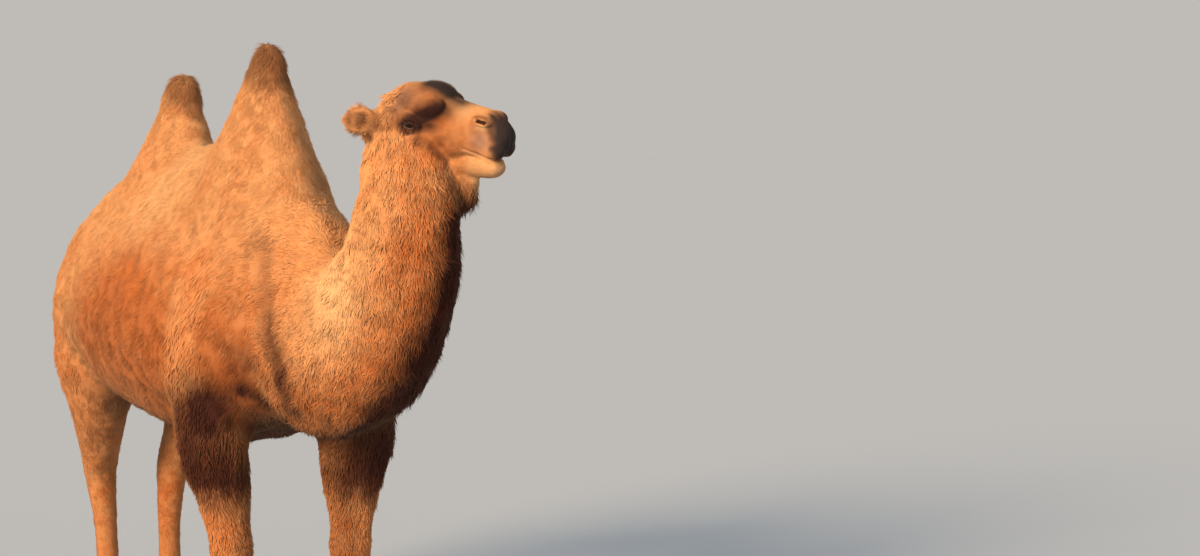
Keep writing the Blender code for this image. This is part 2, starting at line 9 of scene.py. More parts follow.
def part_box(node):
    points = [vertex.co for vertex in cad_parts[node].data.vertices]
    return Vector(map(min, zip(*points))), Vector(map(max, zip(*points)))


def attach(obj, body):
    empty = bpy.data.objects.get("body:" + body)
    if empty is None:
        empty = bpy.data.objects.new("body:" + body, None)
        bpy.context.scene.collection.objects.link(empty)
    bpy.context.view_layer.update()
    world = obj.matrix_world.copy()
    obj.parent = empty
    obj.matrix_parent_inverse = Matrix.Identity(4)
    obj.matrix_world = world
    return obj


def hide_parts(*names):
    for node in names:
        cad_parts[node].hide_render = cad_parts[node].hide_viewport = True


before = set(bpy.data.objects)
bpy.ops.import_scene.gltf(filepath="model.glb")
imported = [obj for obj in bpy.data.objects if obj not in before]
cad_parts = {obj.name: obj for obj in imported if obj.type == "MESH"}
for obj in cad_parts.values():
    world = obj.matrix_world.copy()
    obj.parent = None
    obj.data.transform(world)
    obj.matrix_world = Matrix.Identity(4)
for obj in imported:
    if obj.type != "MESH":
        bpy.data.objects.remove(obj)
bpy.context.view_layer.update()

# A standing bactrian camel: one skin with eyes, lids and nails, under a coat of wool tufts.
# Shapes are worked out in the camel's own axes, with the saddle over the middle of the ground:
# left, forward and height. The frame's +X is the camel's left and its -Y is forward.

headPose = {
    "place": (0.058, 0.970, 1.790),  # base of the skull: left, forward, height
    "turn": 31,  # degrees to the camel's left
    "nod": 1,
    "tilt": 8,
}
eyeSpot = (0.089, 0.187, 0.022)  # centre of an eyeball: left, along and above in the head


def rise(x, start, end):
    # Smoothstep: 0 before start, 1 after end, 3t^2 - 2t^3 between them.
    t = np.clip((x - start) / (end - start), 0, 1)
    return t * t * (3 - 2 * t)


def bell(points, start, radii, end=None):
    # e to the minus squared distance from a place, or from the line between two places, with
    # each axis over its radius.
    offset = (points - np.array(start)) / np.array(radii)
    if end is not None:
        run = (np.array(end) - np.array(start)) / np.array(radii)
        offset = offset - (offset @ run / (run @ run)).clip(0, 1)[:, None] * run
    return np.exp(-(offset**2).sum(axis=1))


def mirrored(points):
    # Both sides as one: the first column loses its sign.
    return np.stack([abs(points[:, 0]), points[:, 1], points[:, 2]], axis=1)


def unit(vectors):
    # Each vector over its length.
    return vectors / np.maximum(np.linalg.norm(vectors, axis=-1, keepdims=True), 1e-9)


def noise(points, scale, seed):
    # Value noise: a random number at each corner of a cubic grid of size scale, blended inside
    # a cell by smoothstep weights. It runs from -1 to 1.
    q = points / np.asarray(scale) + seed * 13.7
    cell = np.floor(q).astype(np.int64)
    t = q - cell
    t = t * t * (3 - 2 * t)
    total = np.zeros(len(q))
    for corner in range(8):
        step = np.array([corner & 1, corner >> 1 & 1, corner >> 2 & 1])
        c = cell + step
        mixed = c[:, 0] * 73856093 ^ c[:, 1] * 19349663 ^ c[:, 2] * 83492791 ^ seed * 2654435
        mixed = (mixed ^ mixed >> 13) * 1274126177 & 0x7FFFFFFF
        weight = np.where(step == 1, t, 1 - t).prod(axis=1)
        total += ((mixed >> 8 & 0xFFFF) / 32767.5 - 1) * weight
    return total


def noiseVector(points, scale, seed):
    # Three noises with neighbouring seeds, one for each axis.
    return np.stack([noise(points, scale, seed + k) for k in range(3)], axis=1)


def splineThrough(keys, values, at):
    # Catmull-Rom: a cubic between neighbours whose slopes are those of the values over the keys.
    slopes = np.gradient(values, keys, axis=0)
    i = np.clip(np.searchsorted(keys, at, side="right") - 1, 0, len(keys) - 2)
    span = (keys[i + 1] - keys[i])[:, None]
    t = (at[:, None] - keys[i][:, None]) / span
    t2, t3 = t * t, t * t * t
    return (
        (2 * t3 - 3 * t2 + 1) * values[i]
        + (t3 - 2 * t2 + t) * slopes[i] * span
        + (3 * t2 - 2 * t3) * values[i + 1]
        + (t3 - t2) * slopes[i + 1] * span
    )


def carry(stations, rings=60, points=64, blunt=0.1, lateral=(1, 0, 0), lateralEnd=None):
    # A superellipse carried along a spline. At each ring it spans half width * sign(c)|c|^(2/p)
    # across and height * sign(s)|s|^(2/p) upwards, for the cosine c and sine s of the turn,
    # with its own height and power p above and below. Both ends close in quarter ellipses.
    table = np.array([tuple(row) + (2, 2)[: 8 - len(row)] for row in stations], float)
    centres = np.stack([table[:, 0], -table[:, 1], table[:, 2]], axis=1)
    keys = np.concatenate([[0], np.cumsum(np.linalg.norm(np.diff(centres, axis=0), axis=1))])
    keys /= keys[-1]
    at = 0.5 - 0.5 * np.cos(np.linspace(0, math.pi, rings))
    path = splineThrough(keys, centres, at)
    sizes = splineThrough(keys, table[:, 3:], at)
    ends = np.clip(np.minimum(at, 1 - at) / blunt, 0, 1)
    close = np.sqrt(np.clip(1 - (1 - ends) ** 2, 0.0004, 1))
    tangents = unit(np.gradient(path, at, axis=0))
    first, last = np.array(lateral, float), np.array(lateralEnd or lateral, float)
    side = first * (1 - at[:, None]) + last * at[:, None]
    side = unit(side - tangents * (side * tangents).sum(axis=1, keepdims=True))
    up = np.cross(tangents, side)
    turns = np.linspace(0, 2 * math.pi, points, endpoint=False)
    c, s = np.cos(turns)[None], np.sin(turns)[None]
    power = 2 / np.maximum(np.where(s >= 0, sizes[:, 3:4], sizes[:, 4:5]), 1.05)
    reach = np.where(s >= 0, sizes[:, 1:2], sizes[:, 2:3]) * close[:, None]
    across = sizes[:, 0:1] * close[:, None] * np.sign(c) * np.abs(c) ** power
    upward = reach * np.sign(s) * np.abs(s) ** power
    grid = path[:, None] + across[..., None] * side[:, None] + upward[..., None] * up[:, None]
    spine = {"path": path, "tangent": tangents, "side": side, "up": up, "at": at}
    spine["radius"] = (sizes[:, 0] + (sizes[:, 1] + sizes[:, 2]) / 2) / 2
    return grid, spine


def ballGrid(centre, radii, lean=0, rings=28, points=40):
    # An ellipsoid on a grid of latitude and longitude, leant to one side about Y.
    lat = np.linspace(-math.pi / 2 + 0.02, math.pi / 2 - 0.02, rings)[:, None]
    lon = np.linspace(0, 2 * math.pi, points, endpoint=False)[None]
    axes = [np.cos(lat) * np.cos(lon), np.cos(lat) * np.sin(lon), np.sin(lat) + 0 * lon]
    spin = np.array(Matrix.Rotation(lean, 3, "Y"))
    return (np.stack(axes, axis=-1) * radii) @ spin.T + centre


def gridFaces(rings, points, first):
    # Quads between neighbouring rings, and one cap at each end.
    k = np.arange(points)
    a = first + np.arange(rings - 1)[:, None] * points + k[None]
    b = first + np.arange(rings - 1)[:, None] * points + (k[None] + 1) % points
    quads = np.stack([a, b, b + points, a + points], axis=-1).reshape(-1, 4).tolist()
    return quads + [(first + k[::-1]).tolist(), (first + (rings - 1) * points + k).tolist()]


def facedOutwards(mesh):
    shape = bmesh.new()
    shape.from_mesh(mesh)
    bmesh.ops.recalc_face_normals(shape, faces=shape.faces)
    shape.to_mesh(mesh)
    shape.free()
    return mesh


def smoothShaded(mesh):
    mesh.polygons.foreach_set("use_smooth", np.ones(len(mesh.polygons), bool))


def meshOfGrids(name, grids):
    # One mesh of several closed grids, each with its two caps.
    faces, first = [], 0
    for grid in grids:
        faces += gridFaces(grid.shape[0], grid.shape[1], first)
        first += grid.shape[0] * grid.shape[1]
    mesh = bpy.data.meshes.new(name)
    mesh.from_pydata(np.concatenate([grid.reshape(-1, 3) for grid in grids]).tolist(), [], faces)
    return facedOutwards(mesh)


def linked(name, mesh):
    # A new object of the scene, at the origin.
    piece = bpy.data.objects.new(name, mesh)
    bpy.context.scene.collection.objects.link(piece)
    return piece


def settled(piece):
    # The mesh with its modifiers applied.
    graph = bpy.context.evaluated_depsgraph_get()
    mesh = bpy.data.meshes.new_from_object(piece.evaluated_get(graph))
    old = piece.data
    piece.modifiers.clear()
    piece.data = mesh
    bpy.data.meshes.remove(old)
    return piece


def fused(name, meshes, voxel, smoothing, rounding=0):
    # All of these meshes as one closed surface, by a voxel grid that is then smoothed.
    shape = bmesh.new()
    for mesh in meshes:
        shape.from_mesh(mesh)
        bpy.data.meshes.remove(mesh)
    whole = bpy.data.meshes.new(name)
    shape.to_mesh(whole)
    shape.free()
    piece = linked(name, whole)
    grid = piece.modifiers.new("fuse", "REMESH")
    grid.mode, grid.voxel_size = "VOXEL", voxel
    smooth = piece.modifiers.new("smooth", "SMOOTH")
    smooth.factor, smooth.iterations = 0.5, smoothing
    if rounding:
        fine = piece.modifiers.new("round", "SUBSURF")
        fine.levels = fine.render_levels = rounding
    return settled(piece)


def pointsOf(mesh):
    # The points of a mesh, one row each.
    flat = np.empty(len(mesh.vertices) * 3, np.float32)
    mesh.vertices.foreach_get("co", flat)
    return flat.reshape(-1, 3).astype(float)


def normalsOf(mesh):
    flat = np.empty(len(mesh.vertices) * 3, np.float32)
    mesh.vertices.foreach_get("normal", flat)
    return flat.reshape(-1, 3).astype(float)


def setPoints(mesh, points):
    mesh.vertices.foreach_set("co", points.astype(np.float32).ravel())
    mesh.update()


def relaxed(mesh, points, share, rounds):
    # Moves each point towards the middle of its neighbours by its share, round after round.
    ends = np.empty(len(mesh.edges) * 2, np.int32)
    mesh.edges.foreach_get("vertices", ends)
    a, b = ends.reshape(-1, 2).T
    count = np.bincount(a, minlength=len(points)) + np.bincount(b, minlength=len(points))
    for _ in range(rounds):
        size = len(points)
        total = [
            np.bincount(a, points[b, k], size) + np.bincount(b, points[a, k], size)
            for k in range(3)
        ]
        middles = np.stack(total, axis=1) / np.maximum(count, 1)[:, None]
        points = points + (middles - points) * share[:, None]
    return points


# The body's stations: left, forward, height, half width, above, below, and the two powers.
bodyStations = {
    "trunk": [
        (0, -0.905, 1.24, 0.12, 0.16, 0.18, 1.9, 2.0),
        (0, -0.81, 1.22, 0.248, 0.325, 0.27, 1.75, 2.0),
        (0, -0.66, 1.20, 0.338, 0.455, 0.33, 1.6, 2.0),
        (0, -0.45, 1.18, 0.368, 0.53, 0.31, 1.45, 2.1),
        (0, -0.20, 1.16, 0.395, 0.58, 0.34, 1.40, 2.2),
        (0, 0.00, 1.15, 0.405, 0.60, 0.36, 1.40, 2.2),
        (0, 0.25, 1.15, 0.395, 0.60, 0.37, 1.40, 2.2),
        (0, 0.45, 1.16, 0.354, 0.56, 0.335, 1.40, 2.1),
        (0, 0.63, 1.18, 0.292, 0.46, 0.32, 1.55, 2.0),
        (0, 0.77, 1.19, 0.165, 0.31, 0.25, 1.8, 2.0),
    ],
    "humpFront": [
        (0, 0.33, 1.34, 0.300, 0.34, 0.36, 1.9, 1.9),
        (0, 0.33, 1.50, 0.245, 0.32, 0.345, 1.8, 1.8),
        (0, 0.34, 1.65, 0.190, 0.275, 0.285, 1.7, 1.7),
        (0, 0.355, 1.78, 0.132, 0.215, 0.200, 1.8, 1.8),
        (0, 0.37, 1.90, 0.082, 0.140, 0.125, 1.9, 1.9),
        (0, 0.38, 2.00, 0.056, 0.082, 0.078),
        (0, 0.385, 2.075, 0.046, 0.062, 0.060),
    ],
    "humpRear": [
        (0, -0.36, 1.34, 0.290, 0.34, 0.34, 1.9, 1.9),
        (0, -0.36, 1.50, 0.230, 0.30, 0.31, 1.8, 1.8),
        (0.006, -0.37, 1.65, 0.160, 0.225, 0.27, 1.7, 1.7),
        (0.012, -0.372, 1.78, 0.100, 0.120, 0.175, 1.8, 1.8),
        (0.026, -0.368, 1.88, 0.074, 0.080, 0.105, 1.9, 1.9),
        (0.036, -0.362, 1.995, 0.050, 0.055, 0.062),
    ],
    "neck": [
        (0, 0.40, 1.28, 0.24, 0.26, 0.30),
        (0, 0.62, 1.23, 0.225, 0.33, 0.34, 1.7, 2),
        (0.010, 0.82, 1.190, 0.238, 0.265, 0.345, 1.8, 2),
        (0.030, 0.985, 1.235, 0.215, 0.195, 0.305, 1.9, 2),
        (0.060, 1.085, 1.35, 0.190, 0.165, 0.232),
        (0.080, 1.115, 1.50, 0.163, 0.140, 0.196),
        (0.090, 1.105, 1.63, 0.134, 0.125, 0.178),
        (0.095, 1.080, 1.75, 0.110, 0.115, 0.140),
        (0.088, 1.055, 1.84, 0.092, 0.092, 0.110),
    ],
    "tail": [
        (0, -0.80, 1.43, 0.055, 0.05, 0.05),
        (0, -0.885, 1.40, 0.046, 0.042, 0.042),
        (0, -0.950, 1.31, 0.036, 0.030, 0.032),
        (0, -0.972, 1.18, 0.030, 0.026, 0.028),
        (0, -0.972, 1.04, 0.040, 0.032, 0.034),
        (0, -0.962, 0.90, 0.026, 0.022, 0.022),
    ],
}
# Each leg: side, forward, height, half width, front, back. A step moves its foot forward.
legStations = {
    "fore": [
        (0.215, 0.46, 1.30, 0.105, 0.20, 0.20),
        (0.238, 0.45, 1.10, 0.125, 0.19, 0.20),
        (0.236, 0.44, 0.94, 0.120, 0.150, 0.160),
        (0.232, 0.46, 0.80, 0.112, 0.120, 0.130),
        (0.216, 0.48, 0.67, 0.090, 0.092, 0.104),
        (0.200, 0.50, 0.53, 0.068, 0.070, 0.066, 2.3, 2.3),
        (0.193, 0.505, 0.45, 0.066, 0.060, 0.062, 2.3, 2.3),
        (0.188, 0.50, 0.36, 0.050, 0.046, 0.050),
        (0.186, 0.50, 0.25, 0.043, 0.040, 0.044),
        (0.186, 0.50, 0.15, 0.052, 0.048, 0.054),
        (0.188, 0.515, 0.05, 0.066, 0.064, 0.060),
    ],
    "hind": [
        (0.165, -0.57, 1.32, 0.110, 0.18, 0.19),
        (0.205, -0.58, 1.16, 0.130, 0.210, 0.215),
        (0.210, -0.58, 1.00, 0.134, 0.185, 0.20),
        (0.188, -0.61, 0.85, 0.108, 0.130, 0.140),
        (0.160, -0.68, 0.71, 0.078, 0.085, 0.090),
        (0.138, -0.735, 0.59, 0.058, 0.062, 0.064, 2.2, 2.2),
        (0.124, -0.735, 0.46, 0.046, 0.046, 0.048),
        (0.117, -0.725, 0.29, 0.040, 0.038, 0.042),
        (0.116, -0.715, 0.15, 0.047, 0.044, 0.050),
        (0.118, -0.700, 0.05, 0.060, 0.058, 0.056),
    ],
}
stepShare = {
    "fore": (0, 0.1, 0.3, 0.5, 0.7, 0.9, 1, 1, 1, 1, 1),
    "hind": (0, 0, 0.2, 0.4, 0.6, 0.75, 0.85, 1, 1, 1),
}
steps = {"foreLeft": 0.05, "foreRight": 0.0, "hindLeft": 0.0, "hindRight": 0.0}
legNames = list(steps)
footPlaces = {"fore": (0.188, 0.535, 1.0), "hind": (0.118, -0.680, 0.88)}  # side, forward, size
forearmFlare = (0, 0, 0.3, 0.5, 0.2, 0, 0, 0, 0, 0, 0)  # share of a flare at each station
flares = {"foreLeft": 0.042}  # how far shaggy hair widens a forearm


def legTable(word, side, step, flare):
    # A leg's stations on its own side, moved by its step and widened by its flare.
    rows = []
    for row, share, wide in zip(legStations[word], stepShare[word], forearmFlare):
        left, forward, height, half, *rest = row
        left, half = side * (left + wide * flare), half + wide * flare
        rows.append((left, forward + share * step, height, half, *rest))
    return rows


def footGrids(left, forward, k):
    # Two spreading toes on one cushion, which are cut flat at the ground later.
    grids = [ballGrid((left, -(forward - 0.015 * k), 0.012), (0.078 * k, 0.098 * k, 0.060))]
    for toe in (-1, 1):
        rows = [
            (left + toe * 0.026 * k, forward - 0.070 * k, 0.020, 0.046 * k, 0.050, 0.03, 2, 2.4),
            (left + toe * 0.036 * k, forward - 0.010 * k, 0.018, 0.052 * k, 0.062, 0.03, 2, 2.4),
            (left + toe * 0.042 * k, forward + 0.060 * k, 0.014, 0.048 * k, 0.050, 0.03, 2, 2.4),
            (left + toe * 0.043 * k, forward + 0.125 * k, 0.010, 0.036 * k, 0.034, 0.03, 2, 2.4),
        ]
        grids.append(carry(rows, rings=30, points=36, blunt=0.20)[0])
    return grids


def headMatrix():
    # The head's own frame: left, along the muzzle and above as columns, and its origin.
    turn, nod, tilt = (math.radians(headPose[key]) for key in ("turn", "nod", "tilt"))
    flatLeft = Vector((math.cos(turn), math.sin(turn), 0))
    flatAlong = Vector((math.sin(turn), -math.cos(turn), 0))
    along = flatAlong * math.cos(nod) + Vector((0, 0, -math.sin(nod)))
    above = flatAlong * math.sin(nod) + Vector((0, 0, math.cos(nod)))
    left = flatLeft * math.cos(tilt) + above * math.sin(tilt)
    above = above * math.cos(tilt) - flatLeft * math.sin(tilt)
    axes = np.array(Matrix((left, along, above)).transposed())
    return axes, np.array(headPose["place"]) * (1, -1, 1)


headAxes, headBase = headMatrix()


def outOfHead(points):
    # From the head's frame to the body's: turned by the axes, then moved to the base.
    return points @ headAxes.T + headBase


def intoHead(points):
    return (points - headBase) @ headAxes


def headCarry(stations, **settings):
    # carry() runs with along as -Y, so the result is mirrored back and put in place.
    grid, spine = carry(stations, **settings)
    flip = np.array([1.0, -1.0, 1.0])
    spine["path"] = outOfHead(spine["path"] * flip)
    for key in ("tangent", "side", "up"):
        spine[key] = spine[key] * flip @ headAxes.T
    return outOfHead(grid * flip), spine


headStations = {
    "skull": [
        (0, 0.000, -0.010, 0.082, 0.060, 0.070),
        (0, 0.055, 0.000, 0.098, 0.076, 0.105),
        (0, 0.115, 0.010, 0.104, 0.112, 0.125),
        (0, 0.180, 0.012, 0.094, 0.118, 0.125),
        (0, 0.240, 0.006, 0.077, 0.106, 0.109, 2.1, 2),
        (0, 0.300, -0.004, 0.066, 0.094, 0.091, 2.2, 2.2),
        (0, 0.355, -0.012, 0.061, 0.086, 0.064, 2.2, 2.3),
        (0, 0.405, -0.022, 0.062, 0.080, 0.058, 2.1, 2.3),
        (0, 0.440, -0.038, 0.058, 0.064, 0.048, 2.0, 2.2),
        (0, 0.472, -0.060, 0.046, 0.036, 0.032),
    ],
    "jaw": [
        (0, 0.050, -0.080, 0.068, 0.06, 0.055),
        (0, 0.130, -0.092, 0.070, 0.06, 0.060),
        (0, 0.210, -0.100, 0.056, 0.05, 0.050),
        (0, 0.290, -0.106, 0.046, 0.03, 0.040),
        (0, 0.360, -0.108, 0.041, 0.038, 0.035),
        (0, 0.415, -0.112, 0.040, 0.030, 0.032),
        (0, 0.452, -0.114, 0.034, 0.022, 0.024),
    ],
}
# Soft masses of the head: centre and radii, and for the pairs how far each side's leans.
headMasses = [
    ((0, 0.172, 0.080), (0.076, 0.086, 0.058)),  # crown
    ((0, 0.225, 0.088), (0.056, 0.080, 0.050)),  # forehead
    ((0, 0.250, -0.162), (0.056, 0.115, 0.098)),  # beard
    ((0, 0.130, -0.115), (0.080, 0.115, 0.080)),  # throat
]
headPairs = [
    ((0.058, 0.228, 0.074), (0.034, 0.068, 0.036), 0.35),  # brow
    ((0.082, 0.130, 0.030), (0.034, 0.052, 0.056), 0),  # temple
    ((0.058, 0.150, -0.066), (0.036, 0.090, 0.062), 0),  # cheek
    ((0.070, 0.190, 0.012), (0.030, 0.046, 0.040), 0),  # round the eye
    ((0.036, 0.408, 0.028), (0.029, 0.044, 0.027), 0),  # nostril
    ((0.028, 0.432, -0.054), (0.036, 0.042, 0.032), 0),  # upper lip
]
earStations = [
    (0.078, 0.105, 0.024, 0.024, 0.020, 0.020),
    (0.128, 0.058, 0.038, 0.046, 0.017, 0.017),
    (0.175, 0.014, 0.048, 0.030, 0.010, 0.010),
]

# One closed body, and the spines that its coat follows.
spines = {}
neckEnd = (math.cos(math.radians(headPose["turn"])), math.sin(math.radians(headPose["turn"])), 0)
coarseGrids, fineGrids = [], []
for name, rings, blunt, end in (
    ("trunk", 60, 0.07, None),
    ("humpFront", 44, 0.075, None),
    ("humpRear", 44, 0.085, None),
    ("neck", 52, 0.08, neckEnd),
):
    grid, spines[name] = carry(bodyStations[name], rings, blunt=blunt, lateralEnd=end)
    coarseGrids.append(grid)
for word in ("fore", "hind"):
    for tag, side in (("Left", 1), ("Right", -1)):
        rows = legTable(word, side, steps[word + tag], flares.get(word + tag, 0))
        grid, spines[word + tag] = carry(rows, 60, blunt=0.03)
        coarseGrids.append(grid)
        fineGrids.append(carry(rows[3:], 60, blunt=0.03)[0])
        lateral, forward, size = footPlaces[word]
        fineGrids += footGrids(side * lateral, forward + steps[word + tag], size)
grid, spines["tail"] = carry(bodyStations["tail"], 40, blunt=0.10)
fineGrids.append(grid)
for name, rings, blunt in (("skull", 70, 0.05), ("jaw", 50, 0.08)):
    grid, spines[name] = headCarry(headStations[name], rings=rings, blunt=blunt)
    fineGrids.append(grid)
fineGrids += [outOfHead(ballGrid(centre, radii)) for centre, radii in headMasses]
for tag, side in (("Left", 1), ("Right", -1)):
    for centre, radii, lean in headPairs:
        spot = np.array(centre) * (side, 1, 1)
        fineGrids.append(outOfHead(ballGrid(spot, radii, side * lean)))
    rows = [(side * row[0],) + row[1:] for row in earStations]
    grid, spines["ear" + tag] = headCarry(rows, rings=30, points=40, blunt=0.30, lateral=(0, 0, 1))
    fineGrids.append(grid)

body = fused("bodyMass", [meshOfGrids("coarse", coarseGrids)], 0.022, 10, rounding=1)
massMesh = body.data.copy()
bpy.data.objects.remove(body)
skin = fused("camelSkin", [massMesh, meshOfGrids("fine", fineGrids)], 0.006, 5)
print("skin fused:", len(skin.data.vertices), "points")

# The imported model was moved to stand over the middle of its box: the eye tells how far.
eyeBox = np.array(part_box("eye_left"))
shift = eyeBox.mean(axis=0) - outOfHead(np.array([eyeSpot]))[0]
print("shift", shift)

# Along each spine: share of the way, coat depth, tuft length, tuft width and curl in mm,
# and tufts in a square decimetre.
coatAlong = {
    "trunk": [(0, 5, 30, 4.4, 1, 130), (0.5, 5.5, 32, 4.6, 1, 120), (1, 6, 34, 4.6, 1, 120)],
    "humpFront": [
        (0, 6, 30, 4, 1, 140),
        (0.6, 6, 28, 3.8, 1, 200),
        (0.8, 7, 30, 3.8, 1, 240),
        (1, 8, 38, 3.8, 1, 300),
    ],
    "humpRear": [
        (0, 6, 30, 4, 1, 140),
        (0.6, 6, 28, 3.8, 1, 200),
        (0.8, 7, 30, 3.8, 1, 240),
        (1, 8, 40, 3.8, 1, 320),
    ],
    "neck": [
        (0, 7, 36, 4.3, 4, 120),
        (0.45, 8, 38, 4.3, 6, 150),
        (0.8, 8, 38, 4.1, 5, 180),
        (1, 7, 32, 3.8, 4, 220),
    ],
    "fore": [
        (0, 5.5, 34, 4.8, 1, 150),
        (0.2, 6.5, 36, 4.8, 2, 160),
        (0.35, 10, 46, 4.8, 3, 200),
        (0.6, 7, 38, 4.4, 3, 240),
        (0.68, 4, 18, 4, 1, 400),
        (1, 3, 9, 3.5, 0, 420),
    ],
    "hind": [
        (0, 6, 32, 4.6, 1, 120),
        (0.4, 5, 27, 4.2, 1, 180),
        (0.6, 4, 17, 3.6, 1, 280),
        (1, 2.5, 9, 3, 0, 360),
    ],
    "tail": [(0, 7, 34, 5, 1, 240), (0.6, 6, 55, 5, 2, 500), (1, 5, 60, 5, 2, 700)],
    "skull": [
        (0, 8, 28, 4, 3, 320),
        (0.3, 5, 16, 3.2, 1, 700),
        (0.5, 2.4, 8, 2.3, 0, 1500),
        (1, 1.5, 5, 1.9, 0, 2000),
    ],
    "jaw": [
        (0, 9, 34, 4.6, 5, 300),
        (0.45, 8, 30, 4.4, 4, 400),
        (0.75, 3, 11, 2.8, 1, 900),
        (1, 1.6, 7, 2.1, 0, 1500),
    ],
    "ear": [(0, 4, 16, 3.2, 0, 700), (1, 3, 14, 3, 1, 1300)],
}
# Lie of the coat: how much of the spine's own direction, and of backwards and upwards.
lieOfCoat = {
    "trunk": (0, 0.75, -0.65),
    "humpFront": (-0.8, 0.30, 0),
    "humpRear": (-0.8, 0.30, 0),
    "neck": (-0.8, 0, -0.55),
    "fore": (1, 0.1, 0),
    "hind": (1, 0.1, 0),
    "tail": (1, 0, 0),
    "skull": (-1, 0, -0.3),
    "jaw": (-0.7, 0, -0.8),
    "ear": (1, 0, 0),
}
spineNames = list(spines)


def kindOf(name):
    # Both sides of a pair share one row of the tables.
    return name.replace("Left", "").replace("Right", "")


def along(points):
    # Where points lie on the body and what coat grows there. For each spine: the nearest sample
    # and its distance over the spine's radius there. The coat's values are means of all spines'
    # values, weighted by that distance to the power -9.
    ratio = np.empty((len(points), len(spineNames)), np.float32)
    nearest = np.empty((len(points), len(spineNames)), np.int16)
    p = points.astype(np.float32)
    square = (p * p).sum(axis=1)[:, None]
    for k, name in enumerate(spineNames):
        path = spines[name]["path"].astype(np.float32)
        away = square - 2 * p @ path.T + (path * path).sum(axis=1)[None]
        best = away.argmin(axis=1)
        nearest[:, k] = best
        reach = np.sqrt(np.maximum(away[np.arange(len(p)), best], 1e-8))
        ratio[:, k] = reach / spines[name]["radius"][best]
    ratio = np.maximum(ratio, 0.05)
    weight = (ratio / ratio.min(axis=1, keepdims=True)) ** -9.0
    weight /= weight.sum(axis=1, keepdims=True)
    where = {"weight": weight, "nearest": nearest, "main": weight.argmax(axis=1)}
    coat = np.zeros((len(points), 5))
    lie = np.zeros((len(points), 3))
    for k, name in enumerate(spineNames):
        spine, best = spines[name], nearest[:, k]
        table = np.array(coatAlong[kindOf(name)], float)
        at = spine["at"][best]
        values = np.stack([np.interp(at, table[:, 0], table[:, c]) for c in range(1, 6)], axis=1)
        coat += values * weight[:, k : k + 1]
        own, back, upwards = lieOfCoat[kindOf(name)]
        direction = spine["tangent"][best] * own + np.array([0, back, upwards])
        lie += direction * weight[:, k : k + 1]
        arm = points - spine["path"][best]
        up = (arm * spine["up"][best]).sum(axis=1)
        side = (arm * spine["side"][best]).sum(axis=1)
        far = np.maximum(np.hypot(up, side), 1e-6)
        where[name] = {"at": at, "weight": weight[:, k], "out": up, "across": side}
        where[name] |= {"angle": np.arctan2(up, side), "up": up / far, "side": side / far}
    where["depth"], where["length"], where["width"], where["curl"] = (coat[:, :4] / 1000).T
    where["density"] = coat[:, 4] * 100
    where["lie"] = lie
    return where


def ofHead(where):
    # Skull's and jaw's share among the spines.
    return where["skull"]["weight"] + where["jaw"]["weight"]


def ofFace(points):
    # 1 on the short-haired face, 0 from the cheeks back; the beard under the jaw isn't face.
    h = intoHead(points)
    return rise(h[:, 1], 0.14, 0.24) * rise(h[:, 2] + 0.25 * (h[:, 1] - 0.2), -0.125, -0.075)


def overLips(h):
    # Height over the line between the lips, which falls by 0.36 of the way along.
    return h[:, 2] + 0.072 + 0.36 * (h[:, 1] - 0.40)


def woolFolds(points, where):
    # Waves of the wool: ridges down the flanks, small clumps on the neck, none on the face.
    trunk = where["trunk"]
    flank = trunk["weight"] * rise(-abs(trunk["up"]), -0.9, -0.3)
    lowerLegs = [where[name]["weight"] * rise(where[name]["at"], 0.5, 0.7) for name in legNames]
    fade = 1 - np.maximum.reduce(lowerLegs)
    ridges = noise(points + 0.05 * noiseVector(points, 0.16, 40), (0.045, 0.045, 0.24), 3)
    clumps = noise(points, 0.055, 5)
    return (ridges * (0.25 + 0.75 * flank) * 0.6 + clumps * 0.5) * (1 - ofFace(points)) * fade


# Marks of the coat. Each row: start, end or None, radii, share, and what patches and freckles
# add to the share. The body's places are left, forward and height, and the face's are left,
# along and above; all but the neck's are the same on both sides.
bodyRows = {
    "dark": [
        # Painted shade over some darker hair: the crease of the shoulder, the armpit, between the
        # forelegs and the groin are darkened where shade falls.
        ((0.16, 0.68, 1.44), (0.21, 0.835, 1.23), 0.045, 0.5, 0.25, 0),  # crease of the shoulder
        ((0.21, 0.835, 1.23), (0.20, 0.875, 1.07), 0.040, 0.8, 0.4, 0),
        ((0.20, 0.875, 1.06), (0.15, 0.86, 0.97), 0.050, 0.9, 0.45, 0),
        ((0.28, 0.55, 0.93), None, (0.11, 0.13, 0.11), 1.3, 0.52, 0),  # armpit
        ((0.225, 0.655, 0.985), (0.13, 0.755, 0.92), 0.060, 0.95, 0.475, 0),
        ((0.24, 0.68, 1.07), None, (0.10, 0.10, 0.09), 0.50, 0.30, 0),
        ((0, 0.64, 0.87), None, (0.24, 0.20, 0.085), 1.5, 0, 0),  # between the forelegs
        ((0, -0.62, 0.90), None, (0.10, 0.22, 0.20), 0.7, 0, 0),  # groin
    ],
    "neckPale": [
        ((-0.14, 1.10, 1.33), None, (0.10, 0.10, 0.17), 0.7, 0, 0),
        ((0.20, 1.05, 1.33), None, (0.10, 0.10, 0.17), 0.7, 0, 0),
    ],
}
